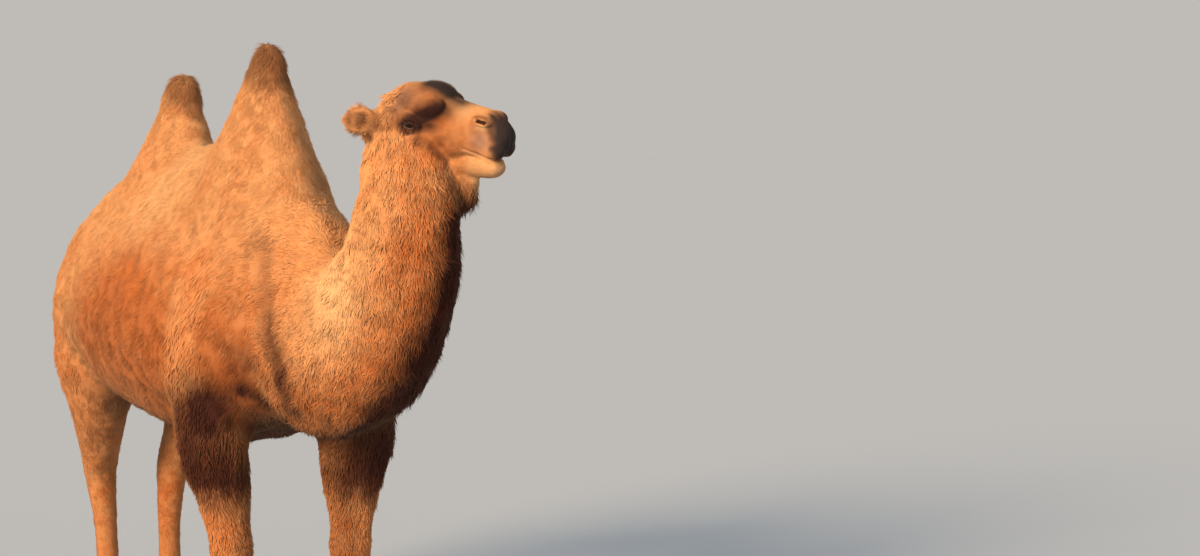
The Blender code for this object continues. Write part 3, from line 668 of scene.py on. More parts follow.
faceRows = {
    "eyePatchAndShade": [
        # Dark hair round the eye, with painted shade in the hollow between the eye and the bridge
        # of the nose.
        ((0.088, 0.204, 0.040), (0.080, 0.240, 0.056), 0.026, 1.15, 0.5, 0.25),
        ((0.080, 0.240, 0.056), (0.066, 0.296, 0.070), 0.033, 1.15, 0.5, 0.25),
        ((0.100, 0.196, 0.026), (0.075, 0.268, 0.062), (0.075, 0.030, 0.030), 1.3, 0, 0),
        ((0.085, 0.248, 0.022), None, (0.040, 0.040, 0.024), 0.85, 0.85, 0),
        ((0.112, 0.187, 0.024), (0.086, 0.225, 0.026), 0.024, 1.2, 0, 0),
        ((0.090, 0.238, 0.010), (0.108, 0.212, -0.030), 0.011, 0.9, 0, 0),
    ],
    "dark": [
        ((0.062, 0.390, 0.000), None, (0.05, 0.06, 0.06), 0.20, 0, 0.2),  # side of the muzzle
        ((0.060, 0.150, 0.090), None, (0.05, 0.07, 0.05), 0.42, 0.3, 0),  # crown
        ((0.078, 0.270, -0.050), None, (0.06, 0.085, 0.060), 0.36, 0.4, 0.35),  # cheek
        ((0.055, 0.395, 0.048), (0.055, 0.430, 0.040), 0.009, 0.6, 0, 0),  # over the nostril
    ],
    "earRoot": [((0.104, 0.085, 0.030), None, (0.028, 0.030, 0.030), 0.8, 0, 0)],
    "pale": [
        ((0.028, 0.352, 0.070), None, (0.045, 0.055, 0.040), 0.55, 0, 0),  # bridge of the nose
        ((0.060, 0.418, 0.014), None, (0.022, 0.024, 0.008), 0.8, 0, 0),  # under the nostril
    ],
    "bare": [
        ((0.056, 0.412, -0.028), None, (0.030, 0.036, 0.034), 0.95, 0, 0),  # upper lip
        ((0.060, 0.155, 0.100), None, (0.050, 0.065, 0.040), 0.85, 0, 0),  # temple
    ],
    # Painted sky-lit shade, grey over darker hair, on the cap of the head.
    "slate": [((0.008, 0.245, 0.135), (0.014, 0.335, 0.100), 0.036, 1.3, 0, 0)],  # cap
}


def spots(rows, points, patchy, freckles):
    # The strongest of the rows' bells, each times its share.
    bells = [
        bell(points, start, radii, end) * (share + byPatch * patchy + byFreckle * freckles)
        for start, end, radii, share, byPatch, byFreckle in rows
    ]
    return np.maximum.reduce(bells).clip(0, 1)


def humpMarks(place, where, patchy):
    # Dark tips above a height that falls forwards, and a ridge of painted shade over darker hair
    # down the front hump's left.
    left, forward, height = place.T
    tips = np.zeros(len(place))
    for name, middle, start, share in (
        ("humpFront", 0.38, 1.90, 0.62),
        ("humpRear", -0.36, 1.86, 0.55),
    ):
        top = rise(height + 0.35 * (forward - middle) + 0.03 * patchy, start, start + 0.08)
        tips = np.maximum(tips, share * top * (where[name]["weight"] > 0.3))
    ridgeShade = np.exp(-(((left - 0.10) / 0.030) ** 2)) * (where["humpFront"]["weight"] > 0.2)
    ridgeShade *= rise(forward, 0.42, 0.54) * rise(height, 1.42, 1.6) * (0.75 + 0.4 * patchy)
    return tips, ridgeShade


def legMarks(place, where, patchy):
    # Dark forearms between two heights; painted shade darkens the backs of all the lower legs and
    # the forelegs' inner sides.
    forward, height = place[:, 1], place[:, 2]
    dark = np.zeros(len(place))
    for name in legNames:
        leg, side = where[name], 1 if "Left" in name else -1
        # Painted shade on the back of each lower leg.
        back = 0.45 * rise(-leg["up"], -0.2, 0.9) * rise(leg["at"], 0.55, 0.7)
        dark = np.maximum(dark, back * leg["weight"])
        if "fore" in name:
            band = rise(height + 0.07 * patchy + 0.25 * leg["out"], 0.56, 0.72)
            band *= 1 - rise(height + 0.04 * patchy - 0.3 * (forward - 0.55), 0.97, 1.10)
            # Painted shade on the inner side of each foreleg.
            innerShade = 0.45 * (1 - rise(leg["side"] * side, -0.5, 0.3)) * rise(leg["at"], 0.4, 0.5)
            facing = 0.85 + 0.15 * rise(leg["up"] + 0.6 * leg["side"] * side, -0.4, 0.7)
            dark = np.maximum(dark, np.maximum(band, innerShade) * facing * leg["weight"])
    return dark


def maneAndShade(place, where, patchy):
    # The neck's dark front, with painted shade on its left: it fades over its edge on the right
    # and is paler further round the left.
    height, neck = place[:, 2], where["neck"]
    edge = -0.34 - 0.12 * rise(1.38 - height, 0, 0.2) + 0.22 * patchy
    mane = rise(neck["side"] - edge, -0.10, 0.50) * rise(-neck["up"], 0.02, 0.50)
    mane *= 1 - 0.75 * rise(neck["side"], 0.55, 0.95)
    mane *= rise(1.71 - height + 0.06 * patchy, 0, 0.20) * rise(neck["at"], 0.22, 0.36)
    return mane * neck["weight"] * (1.3 + 0.3 * patchy)


def earBowlShade(where):
    # Painted shade in the hollow face of each ear, which looks forwards, inside its rim.
    bowl = 0
    for name in ("earLeft", "earRight"):
        ear, forwards = where[name], np.sign((spines[name]["up"].mean(axis=0) @ headAxes)[1])
        middle = rise(ear["at"], 0.30, 0.5) * (1 - rise(ear["at"], 0.76, 0.9))
        middle *= 1 - rise(abs(ear["across"]), 0.020, 0.033)
        hollow = middle * rise(ear["out"] * forwards, -0.009, -0.005)
        bowl = np.maximum(bowl, hollow * ear["weight"])
    return bowl


def markings(points, where):
    # Shares of dark brown, cream, bare skin and slate-grey painted shade over the sandy coat.
    place = points * (1, -1, 1)  # left, forward, height
    forward, height, trunk = place[:, 1], place[:, 2], where["trunk"]
    h = intoHead(points)
    face = mirrored(h)
    patchy = noise(points, 0.09, 11) * 0.5 + noise(points, 0.035, 12) * 0.35
    freckles = noise(points, 0.016, 13)
    tone = {key: spots(rows, face, patchy, freckles) for key, rows in faceRows.items()}
    onHead = rise(ofHead(where), 0.2, 0.6)
    tips, ridgeShade = humpMarks(place, where, patchy)
    # Painted shade with some darker hair: the flank darkens towards the belly, from the hind legs
    # forwards.
    lowFlankShadeAndHair = rise(1.45 - height, 0, 0.4) * rise(forward, -0.75, -0.4) * (0.22 + 0.18 * patchy)
    # Painted shade: the trunk's underside darkens where shade falls under the belly.
    bellyShade = rise(-trunk["up"], 0.50, 0.95) * 0.92
    tailEnd = rise(where["tail"]["at"], 0.25, 0.6) * where["tail"]["weight"] * 0.85
    # The muzzle's front: darker hair, greyed by painted shade.
    muzzle = rise(h[:, 1] + 0.10 * h[:, 2] + 0.008 * freckles, 0.418, 0.464)
    muzzle *= rise(overLips(h), -0.006, 0.006)
    slant = np.array([[1, 0.15, 0], [0, 1.0, 0.30], [0, -0.30, 1.0]])
    # Painted shade: the nostril's slit is darkened where its opening lies in shade.
    slit = np.abs((face - (0.060, 0.414, 0.030)) @ slant / (0.03, 0.018, 0.0055)).max(axis=1)
    nostril = 1.2 * (1 - rise(slit, 0.7, 1.15))
    # The bare skin round an eye lies below it, in a ring of the lids' radius.
    fromEye = face - eyeSpot
    away = np.hypot(fromEye[:, 1], fromEye[:, 2])
    below = rise(-(fromEye[:, 2] + 0.4 * fromEye[:, 1]) / np.maximum(away, 1e-4), -0.2, 0.5)
    lid = np.exp(-(((away - 0.0245) / 0.0055) ** 2)) * below * (h[:, 1] < 0.235) * onHead
    faceDark = np.maximum.reduce([tone["eyePatchAndShade"], tone["dark"], muzzle * 0.92, nostril])
    # Painted shade with some darker hair in the body's creases and between its legs.
    hollowShadeAndHair = spots(bodyRows["dark"], mirrored(place), patchy, freckles)
    dark = np.maximum.reduce(
        [tips, ridgeShade * 0.35, tailEnd, np.maximum(bellyShade, lowFlankShadeAndHair) * trunk["weight"]]
        + [maneAndShade(place, where, patchy), legMarks(place, where, patchy)]
        + [hollowShadeAndHair * (1 - onHead), faceDark * onHead]
        + [tone["earRoot"], earBowlShade(where) * (0.55 + 0.5 * freckles)]
    )
    back = rise(trunk["up"], 0.5, 1) * 0.35
    rump = rise(-forward, 0.70, 1.0) * rise(height, 0.95, 1.2) * 0.55
    lowerLip = rise(-overLips(h), 0, 0.006) * rise(h[:, 1], 0.33, 0.37) * onHead
    pale = np.maximum.reduce(
        [spots(bodyRows["neckPale"], place, patchy, freckles), tone["pale"] * onHead]
        + [np.maximum(back, rump) * trunk["weight"], lowerLip * 0.5]
    )
    chin = lowerLip * rise(h[:, 1], 0.43, 0.455) * 0.6
    bare = np.maximum.reduce([tone["bare"] * onHead, lid, muzzle * 0.35 * onHead, chin * onHead])
    # Grey painted shade on the muzzle's front, the cap and the eye patch.
    slate = np.maximum.reduce([tone["slate"], muzzle * 0.95, tone["eyePatchAndShade"] * 0.3]) * onHead
    # Grey painted shade along the front hump's ridge.
    slate = np.maximum(slate, ridgeShade * 0.15)
    return np.clip(np.stack([dark * (1 - 0.9 * lid), pale, bare, slate], axis=1), 0, 1)


def russetAndShade(points, where):
    # Redder wool: painted shade on the low flank, the neck's front half and behind the shoulder;
    # the cheeks and legs are redder too.
    forward, height, neck = -points[:, 1], points[:, 2], where["neck"]
    low = rise(1.62 - height, 0, 0.4) * (0.15 + 0.85 * rise(forward, -0.55, -0.1))
    front = rise(-neck["up"], 0.2, 1.0) * (1 - rise(neck["at"], 0.7, 0.95)) * neck["weight"]
    hollow = bell(points * (0, -1, 1), (0, 0.70, 1.15), (1, 0.14, 0.22)) * 0.7
    cheek = bell(np.abs(intoHead(points)), (0.07, 0.27, 0.05), (0.06, 0.09, 0.06)) * 0.7
    legs = sum(where[name]["weight"] for name in legNames) * 0.45
    redder = np.maximum.reduce([low * where["trunk"]["weight"], front * 0.75, hollow, cheek, legs])
    return redder + 0.2 * noise(points, 0.05, 14)


# The skin lies inside the coat.
fleshNodes = [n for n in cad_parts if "eye_" not in n and "nail" not in n]
finish = {
    "bodyTriangles": 62000,
    "headReach": 0.285,  # how far round the middle of the head the skin stays fine
    "foldDepth": 0.013,  # height of the wool's waves
    "mostInset": 0.026,
    "hollow": 0.009,  # where the neck's wool meets the shoulder's
}


def insetSkin(mesh):
    # Each point moves in along its normal by the coat's depth, and out by the wool's waves.
    points, normals = pointsOf(mesh), normalsOf(mesh)
    where = along(points)
    folds = woolFolds(points, where)
    near = rise(points[:, 2], 0.0, 0.03)  # soles keep their place on the ground
    depth = np.minimum(where["depth"], finish["mostInset"]) * (0.25 + 0.75 * near)
    bulge = finish["foldDepth"] * (folds - 0.10) * rise(depth, 0.003, 0.006)
    half = mirrored(points * (1, -1, 1))
    hollow = bell(half, (0.17, 0.70, 1.42), 0.048, (0.21, 0.835, 1.23))
    hollow = np.maximum(hollow, bell(half, (0.21, 0.835, 1.23), 0.048, (0.19, 0.880, 1.08)))
    setPoints(mesh, points + normals * (bulge - depth - finish["hollow"] * hollow)[:, None])


insetSkin(skin.data)
points = pointsOf(skin.data)
middle = np.linalg.norm(intoHead(points) - (0, 0.22, -0.02), axis=1)
group = skin.vertex_groups.new(name="thin")
group.add(np.flatnonzero(middle > finish["headReach"]).tolist(), 1.0, "REPLACE")
kept = int((middle <= finish["headReach"]).sum())
thin = skin.modifiers.new("thin", "DECIMATE")
thin.ratio = (2 * kept + finish["bodyTriangles"]) / (2 * len(points))
thin.vertex_group = "thin"
settled(skin)
skin.vertex_groups.clear()
print("skin thinned:", len(skin.data.polygons), "faces,", kept, "fine points")


def subdivideWhere(mesh, chosen):
    # Splits every edge whose two ends are both chosen.
    shape = bmesh.new()
    shape.from_mesh(mesh)
    picked = set(np.flatnonzero(chosen).tolist())
    edges = [e for e in shape.edges if e.verts[0].index in picked and e.verts[1].index in picked]
    bmesh.ops.subdivide_edges(shape, edges=edges, cuts=1, use_grid_fill=True)
    shape.to_mesh(mesh)
    shape.free()


def detailPlaces(h):
    # Where the face needs its finest skin: eyes, nostrils and mouth.
    m = mirrored(h)
    eye = np.linalg.norm(m - eyeSpot, axis=1) < 0.040
    nostril = np.linalg.norm(m - (0.058, 0.415, 0.030), axis=1) < 0.034
    mouth = (abs(overLips(h)) < 0.014) & (h[:, 1] > 0.32)
    return eye | nostril | mouth


def shortFaced(h):
    # The ball round the middle of the face that holds short hair, without the beard.
    return (np.linalg.norm(h - (0, 0.27, 0.0), axis=1) < 0.205) & (h[:, 2] > -0.15)


def roundedOff(chosen, share, rounds):
    # The skin relaxed where a test of its places holds.
    points = pointsOf(skin.data)
    h = intoHead(points)
    setPoints(skin.data, relaxed(skin.data, points, share * chosen(h), rounds))


subdivideWhere(skin.data, shortFaced(intoHead(pointsOf(skin.data))))
roundedOff(shortFaced, 0.5, 4)
subdivideWhere(skin.data, detailPlaces(intoHead(pointsOf(skin.data))))
roundedOff(detailPlaces, 0.5, 3)
print("skin refined:", len(skin.data.vertices), "points")

eyeLook = {
    "ball": 0.0215,  # radius
    "lidShell": 0.0252,  # radius at which the lids lie over the ball
    "behind": 0.0165,  # radius to which the skin drops behind the ball
    "brow": 0.004,  # swell of the upper lid
    "gaze": (0.80, 0.55, 0.05),  # left, along, above
    "halfLong": 0.74,  # the opening's half length and half heights, as tangents of angles
    "halfHigh": 0.42,
    "halfLow": 0.36,
    "slant": -0.22,  # radians, front corner down
}
# Depths and heights of the face's folds.
faceFolds = {
    "mouth": 0.012,  # depth of the groove between the lips
    "upperLip": 0.0025,
    "lowerLip": 0.0022,
    "mouthCorner": 0.003,
    "lipSplit": 0.006,
    "nostril": 0.019,
    "nostrilRim": 0.0032,
    "cheekbone": 0.004,
    "cheekHollow": 0.005,
}
nostrilSpot = (0.060, 0.414, 0.030)


def eyeFrame(side):
    # The eye's centre and gaze, and two axes across the gaze, along and over the opening,
    # that are turned about it by the slant.
    gaze = unit(np.array(eyeLook["gaze"]) * (side, 1, 1))
    forwards = unit(np.cross(np.cross(gaze, (0, 1.0, 0)), gaze))
    upwards = np.cross(gaze, forwards)
    upwards = upwards * np.sign(upwards[2])
    c, s = math.cos(eyeLook["slant"]), math.sin(eyeLook["slant"])
    long = forwards * c + upwards * s
    high = upwards * c - forwards * s
    return np.array(eyeSpot) * (side, 1, 1), gaze, long, high


def sculptMouth(h, normals):
    # A groove whose depth is a bell across the line of the lips, which swell above and below.
    line = overLips(h)
    run = rise(h[:, 1], 0.335, 0.365)
    gape = 0.0032 + 0.0028 * rise(h[:, 1], 0.36, 0.44)
    h = h - normals * (faceFolds["mouth"] * run * np.exp(-((line / gape) ** 2)))[:, None]
    upper = run * np.exp(-(((line - 0.012) / 0.008) ** 2))
    lower = run * np.exp(-(((line + 0.011) / 0.007) ** 2))
    h += normals * (faceFolds["upperLip"] * upper)[:, None]
    h += normals * (faceFolds["lowerLip"] * lower)[:, None]
    # A short crease at the corner of the mouth, and the split of the upper lip.
    corner = bell(mirrored(h), (0.060, 0.336, -0.046), (0.03, 0.008, 0.012))
    h -= normals * (faceFolds["mouthCorner"] * corner)[:, None]
    split = np.exp(-((h[:, 0] / 0.0035) ** 2))
    split *= rise(h[:, 1], 0.44, 0.465) * rise(line, 0.002, 0.012)
    return h - normals * (faceFolds["lipSplit"] * split * (1 - rise(h[:, 2], -0.02, 0.0)))[:, None]


def sculptCheek(h, normals, side):
    # Nostril: a deep slit, long in u and narrow in v, with a raised rim round it.
    spot = np.array(nostrilSpot) * (side, 1, 1)
    u = (h - spot) @ unit(np.array([side * 0.15, 1.0, -0.30]))
    v = (h - spot) @ unit(np.array([0.0, 0.30, 1.0]))
    here = rise(side * h[:, 0], 0.01, 0.03)
    slit = np.exp(-((u / 0.0165) ** 4) - ((v - 0.18 * np.abs(u)) / 0.0036) ** 2) * here
    rim = np.exp(-(((np.sqrt((u / 0.020) ** 2 + (v / 0.0085) ** 2) - 1) / 0.40) ** 2)) * here
    h = h + normals * (faceFolds["nostrilRim"] * rim - faceFolds["nostril"] * slit)[:, None]
    # Cheekbone over the cheek, and the hollow before it.
    bone = bell(h, (side * 0.080, 0.225, -0.026), (0.03, 0.05, 0.013))
    h += normals * (faceFolds["cheekbone"] * bone)[:, None]
    hollow = bell(h, (side * 0.065, 0.295, -0.020), (0.03, 0.035, 0.022))
    return h - normals * (faceFolds["cheekHollow"] * hollow)[:, None]


def sculptEye(h, side):
    # Orbit: skin beside the eye rises onto the shell. Its height over the eye's centre is the
    # sphere's up to 0.8 of the radius, then falls away, and is blended with the cheek's own.
    centre, gaze, long, high = eyeFrame(side)
    part = np.hypot(h[:, 1] - centre[1], h[:, 2] - centre[2]) / eyeLook["lidShell"]
    dome = np.sqrt(1 - part.clip(0, 0.8) ** 2)
    skirt = 0.6 * np.exp(-2.0 * (part - 0.8)) - 0.3 * (part - 0.8)
    swell = np.where(part < 0.8, dome, skirt) - 1.4 * rise(part, 1.4, 2.4)
    swell = side * centre[0] + eyeLook["lidShell"] * swell
    own = side * h[:, 0]
    blended = (own + swell + np.sqrt((own - swell) ** 2 + 0.006**2)) / 2 - 0.001
    beside = (own > 0.045) & (part < 2.4)
    h = h.copy()
    h[:, 0] = np.where(beside, side * np.maximum(blended, np.maximum(own, swell)), h[:, 0])
    # Lids: outside the almond opening the skin lies on a shell round the ball, and inside it
    # the skin drops behind the ball. The almond is where (u/a)^2 + (v/b)^2 < 1 on the gaze.
    arm = h - centre
    away = np.linalg.norm(arm, axis=1)
    far = np.maximum(away, 1e-6)
    ahead = np.maximum(arm @ gaze / far, 0.05)
    u = arm @ long / far / ahead / eyeLook["halfLong"]
    v = arm @ high / far / ahead
    v = v / np.where(v > 0, eyeLook["halfHigh"], eyeLook["halfLow"])
    oval = np.sqrt(u * u + v * v)
    outward = unit(gaze + np.array([side * 1.2, 0, 0]))
    facing = rise(arm @ outward / far, -0.15, 0.1)
    brow = eyeLook["brow"] * np.exp(-(((oval - 1.9) / 0.5) ** 2)) * rise(v, 0, 0.5)
    covered = away + (np.maximum(away, eyeLook["lidShell"] + brow) - away) * facing
    opening = (1 - rise(oval, 0.93, 1.05)) * (arm @ gaze > 0) * (away < 0.05)
    wanted = covered * (1 - opening) + np.minimum(away, eyeLook["behind"]) * opening
    return centre + arm * (wanted / far)[:, None]


def cupEar(h, spine):
    # The ear's front face is hollowed into a bowl that keeps a rim: by its own height out of
    # the spine, times 1 - x^2 for the share x of the way across.
    path = intoHead(spine["path"])
    gap = ((h[:, None].astype(np.float32) - path[None].astype(np.float32)) ** 2).sum(axis=2)
    best = gap.argmin(axis=1)
    arm = h - path[best]
    face = spine["up"][best] @ headAxes
    face = face * np.sign(face[:, 1:2])
    wide = spine["side"][best] @ headAxes
    out = (arm * face).sum(axis=1)
    across = (arm * wide).sum(axis=1) / 0.034
    at = spine["at"][best]
    cup = rise(out, 0.0, 0.006) * np.clip(1 - across**2, 0, 1)
    cup = cup * rise(at, 0.34, 0.55) * (1 - rise(at, 0.86, 0.97))
    near = np.sqrt(gap.min(axis=1)) < 0.05
    return h - face * (1.2 * out.clip(0, 0.03) * cup * near)[:, None]


def sculptHead(h, normals):
    # Every fold moves points of the head's frame by a smooth function of place.
    h = sculptMouth(h, normals)
    for tag, side in (("Right", -1), ("Left", 1)):
        h = sculptEye(sculptCheek(h, normals, side), side)
        h = cupEar(h, spines["ear" + tag])
    return h


mesh = skin.data
points, normals = pointsOf(mesh), normalsOf(mesh)
h = intoHead(points)
close = np.linalg.norm(h - (0, 0.22, 0), axis=1) < 0.33
shaped = h.copy()
shaped[close] = sculptHead(h[close], normals[close] @ headAxes)
setPoints(mesh, outOfHead(shaped))
roundedOff(shortFaced, 0.25, 1)


def cutAtGround(mesh):
    # Everything under the ground goes, and the soles are closed flat.
    shape = bmesh.new()
    shape.from_mesh(mesh)
    everything = shape.verts[:] + shape.edges[:] + shape.faces[:]
    plane = {"plane_co": (0, 0, 0.0002), "plane_no": (0, 0, 1)}
    cut = bmesh.ops.bisect_plane(shape, geom=everything, clear_inner=True, **plane)
    rim = [e for e in cut["geom_cut"] if isinstance(e, bmesh.types.BMEdge)]
    bmesh.ops.edgeloop_fill(shape, edges=rim)
    bmesh.ops.recalc_face_normals(shape, faces=shape.faces)
    shape.to_mesh(mesh)
    shape.free()


cutAtGround(mesh)
smoothShaded(mesh)
print("skin shaped")


def putAttribute(mesh, name, kind, values):
    layer = mesh.attributes.new(name, kind, "POINT")
    field = "color" if kind == "FLOAT_COLOR" else "value"
    layer.data.foreach_set(field, values.astype(np.float32).ravel())


points, normals = pointsOf(mesh), normalsOf(mesh)
where = along(points)
faceShare = ofFace(points) * rise(ofHead(where), 0.2, 0.6)
earShare = where["earLeft"]["weight"] + where["earRight"]["weight"]
putAttribute(mesh, "marks", "FLOAT_COLOR", markings(points, where))
putAttribute(mesh, "warm", "FLOAT", russetAndShade(points, where))
# Painted shade: the hide between the tufts is darker, less so on the face and ears.
putAttribute(mesh, "shade", "FLOAT", 0.84 + 0.12 * np.maximum(faceShare, earShare * 0.6))

# Roots are drawn on the skin's triangles by area and by the coat's density there.
mesh.calc_loop_triangles()
corners = np.empty(len(mesh.loop_triangles) * 3, np.int32)
mesh.loop_triangles.foreach_get("vertices", corners)
corners = corners.reshape(-1, 3)
cornerPoints = points[corners]
edgeA, edgeB = cornerPoints[:, 1] - cornerPoints[:, 0], cornerPoints[:, 2] - cornerPoints[:, 0]
area = np.linalg.norm(np.cross(edgeA, edgeB), axis=1) / 2


def bareness(points):
    # 1 where nothing grows: soles, lips, nostrils and eye openings.
    h = intoHead(points)
    face = mirrored(h)
    soles = (points[:, 2] < 0.004) * 1.0
    eyes = 1 - rise(np.linalg.norm(face - eyeSpot, axis=1), 0.0235, 0.0275)
    lips = (np.abs(overLips(h)) < 0.006) * rise(h[:, 1], 0.335, 0.35) * (face[:, 0] < 0.09)
    slit = np.abs((face - (0.058, 0.414, 0.030)) / (0.03, 0.022, 0.008)).max(axis=1)
    return np.maximum.reduce([soles, eyes, lips, 1 - rise(slit, 0.8, 1.1)])


growth = where["density"] * (1 - bareness(points))
growth = growth[corners].mean(axis=1) * area
mainOf = where["main"][corners[:, 0]]
print("skin area %.2f m2, tufts wanted %d" % (area.sum(), growth.sum()))
for k, name in enumerate(spineNames):
    print("  %s %.2f m2 %d" % (name, area[mainOf == k].sum(), growth[mainOf == k].sum()))

tuft = {
    "least": 0.0042,  # a tip's least height over the skin
    "leastOnFace": 0.0012,
    "neckFlat": 0.42,  # how much flatter the wool lies on the sides of the neck
    "wave": 0.0025,  # height of the fine waves
    "fringe": 0.012,  # extra length of beard, crown, throat and ear rims
    "stray": 0.34,  # how far locks turn out of the coat's lie
    "soft": 0.75,  # how far their shading follows the skin
}


def tuftFaces(rings):
    # One tuft's corners and face starts: quads between rings, three at the tip and one below.
    k = np.arange(3)
    ahead = (k + 1) % 3
    quads = [np.stack([k, ahead, 3 + ahead, 3 + k], 1) + 3 * r for r in range(rings - 1)]
    quads = np.concatenate([np.zeros((0, 4), int)] + quads)
    last = 3 * (rings - 1)
    tips = np.stack([last + k, last + ahead, 0 * k + 3 * rings], axis=1)
    loops = np.concatenate([quads.ravel(), tips.ravel(), [2, 1, 0]])
    starts = np.concatenate([np.arange(len(quads)) * 4, len(quads) * 4 + np.arange(4) * 3])
    return loops, starts


def meshOfTufts(name, verts, count, rings):
    # One tuft's faces, repeated with every index raised by the points of the tufts before it.
    loops, starts = tuftFaces(rings)
    tufts = np.arange(count)[:, None]
    loops, starts = loops + tufts * (3 * rings + 1), starts + tufts * len(loops)
    made = bpy.data.meshes.new(name)
    made.vertices.add(len(verts))
    made.vertices.foreach_set("co", verts.astype(np.float32).ravel())
    made.loops.add(loops.size)
    made.loops.foreach_set("vertex_index", loops.astype(np.int32).ravel())
    made.polygons.add(starts.size)
    made.polygons.foreach_set("loop_start", starts.astype(np.int32).ravel())
    smoothShaded(made)
    made.update(calc_edges=True)
    return made


def tuftPatch(rings):
    # Where each corner of a tuft's faces lies on its patch of the map, across and along.
    k = np.arange(3)
    acrossQuad = np.tile(np.stack([k, k + 1, k + 1, k], axis=1) / 3, (rings - 1, 1))
    acrossTip = np.stack([k / 3, (k + 1) / 3, (k + 0.5) / 3], axis=1)
    across = np.concatenate([acrossQuad.ravel(), acrossTip.ravel(), [1, 0, 0.5]])
    rows = [np.tile([r, r, r + 1, r + 1], (3, 1)) / rings for r in range(rings - 1)]
    rows.append(np.tile([(rings - 1) / rings, (rings - 1) / rings, 1], (3, 1)))
    return across, np.concatenate([row.ravel() for row in rows] + [[-0.05, -0.05, -0.25]])


def chartOf(here, rings):
    # Map: the skin unrolled as share of the way along its spine by angle round it, one cell for
    # each spine of the piece, and each tuft a patch 0.003 across at its root's place.
    used = np.unique(here["main"])
    columns = math.ceil(math.sqrt(len(used)))
    cell = np.searchsorted(used, here["main"])
    at = np.choose(cell, [here[spineNames[k]]["at"] for k in used])
    angle = np.choose(cell, [here[spineNames[k]]["angle"] for k in used])
    u = (cell % columns + 0.03 + 0.92 * at) / columns
    v = (cell // columns + 0.03 + 0.92 * (angle / (2 * math.pi) + 0.5)) / columns
    across, upwards = tuftPatch(rings)
    return np.stack([u[:, None] + 0.003 * across, v[:, None] + 0.003 * upwards], axis=-1)


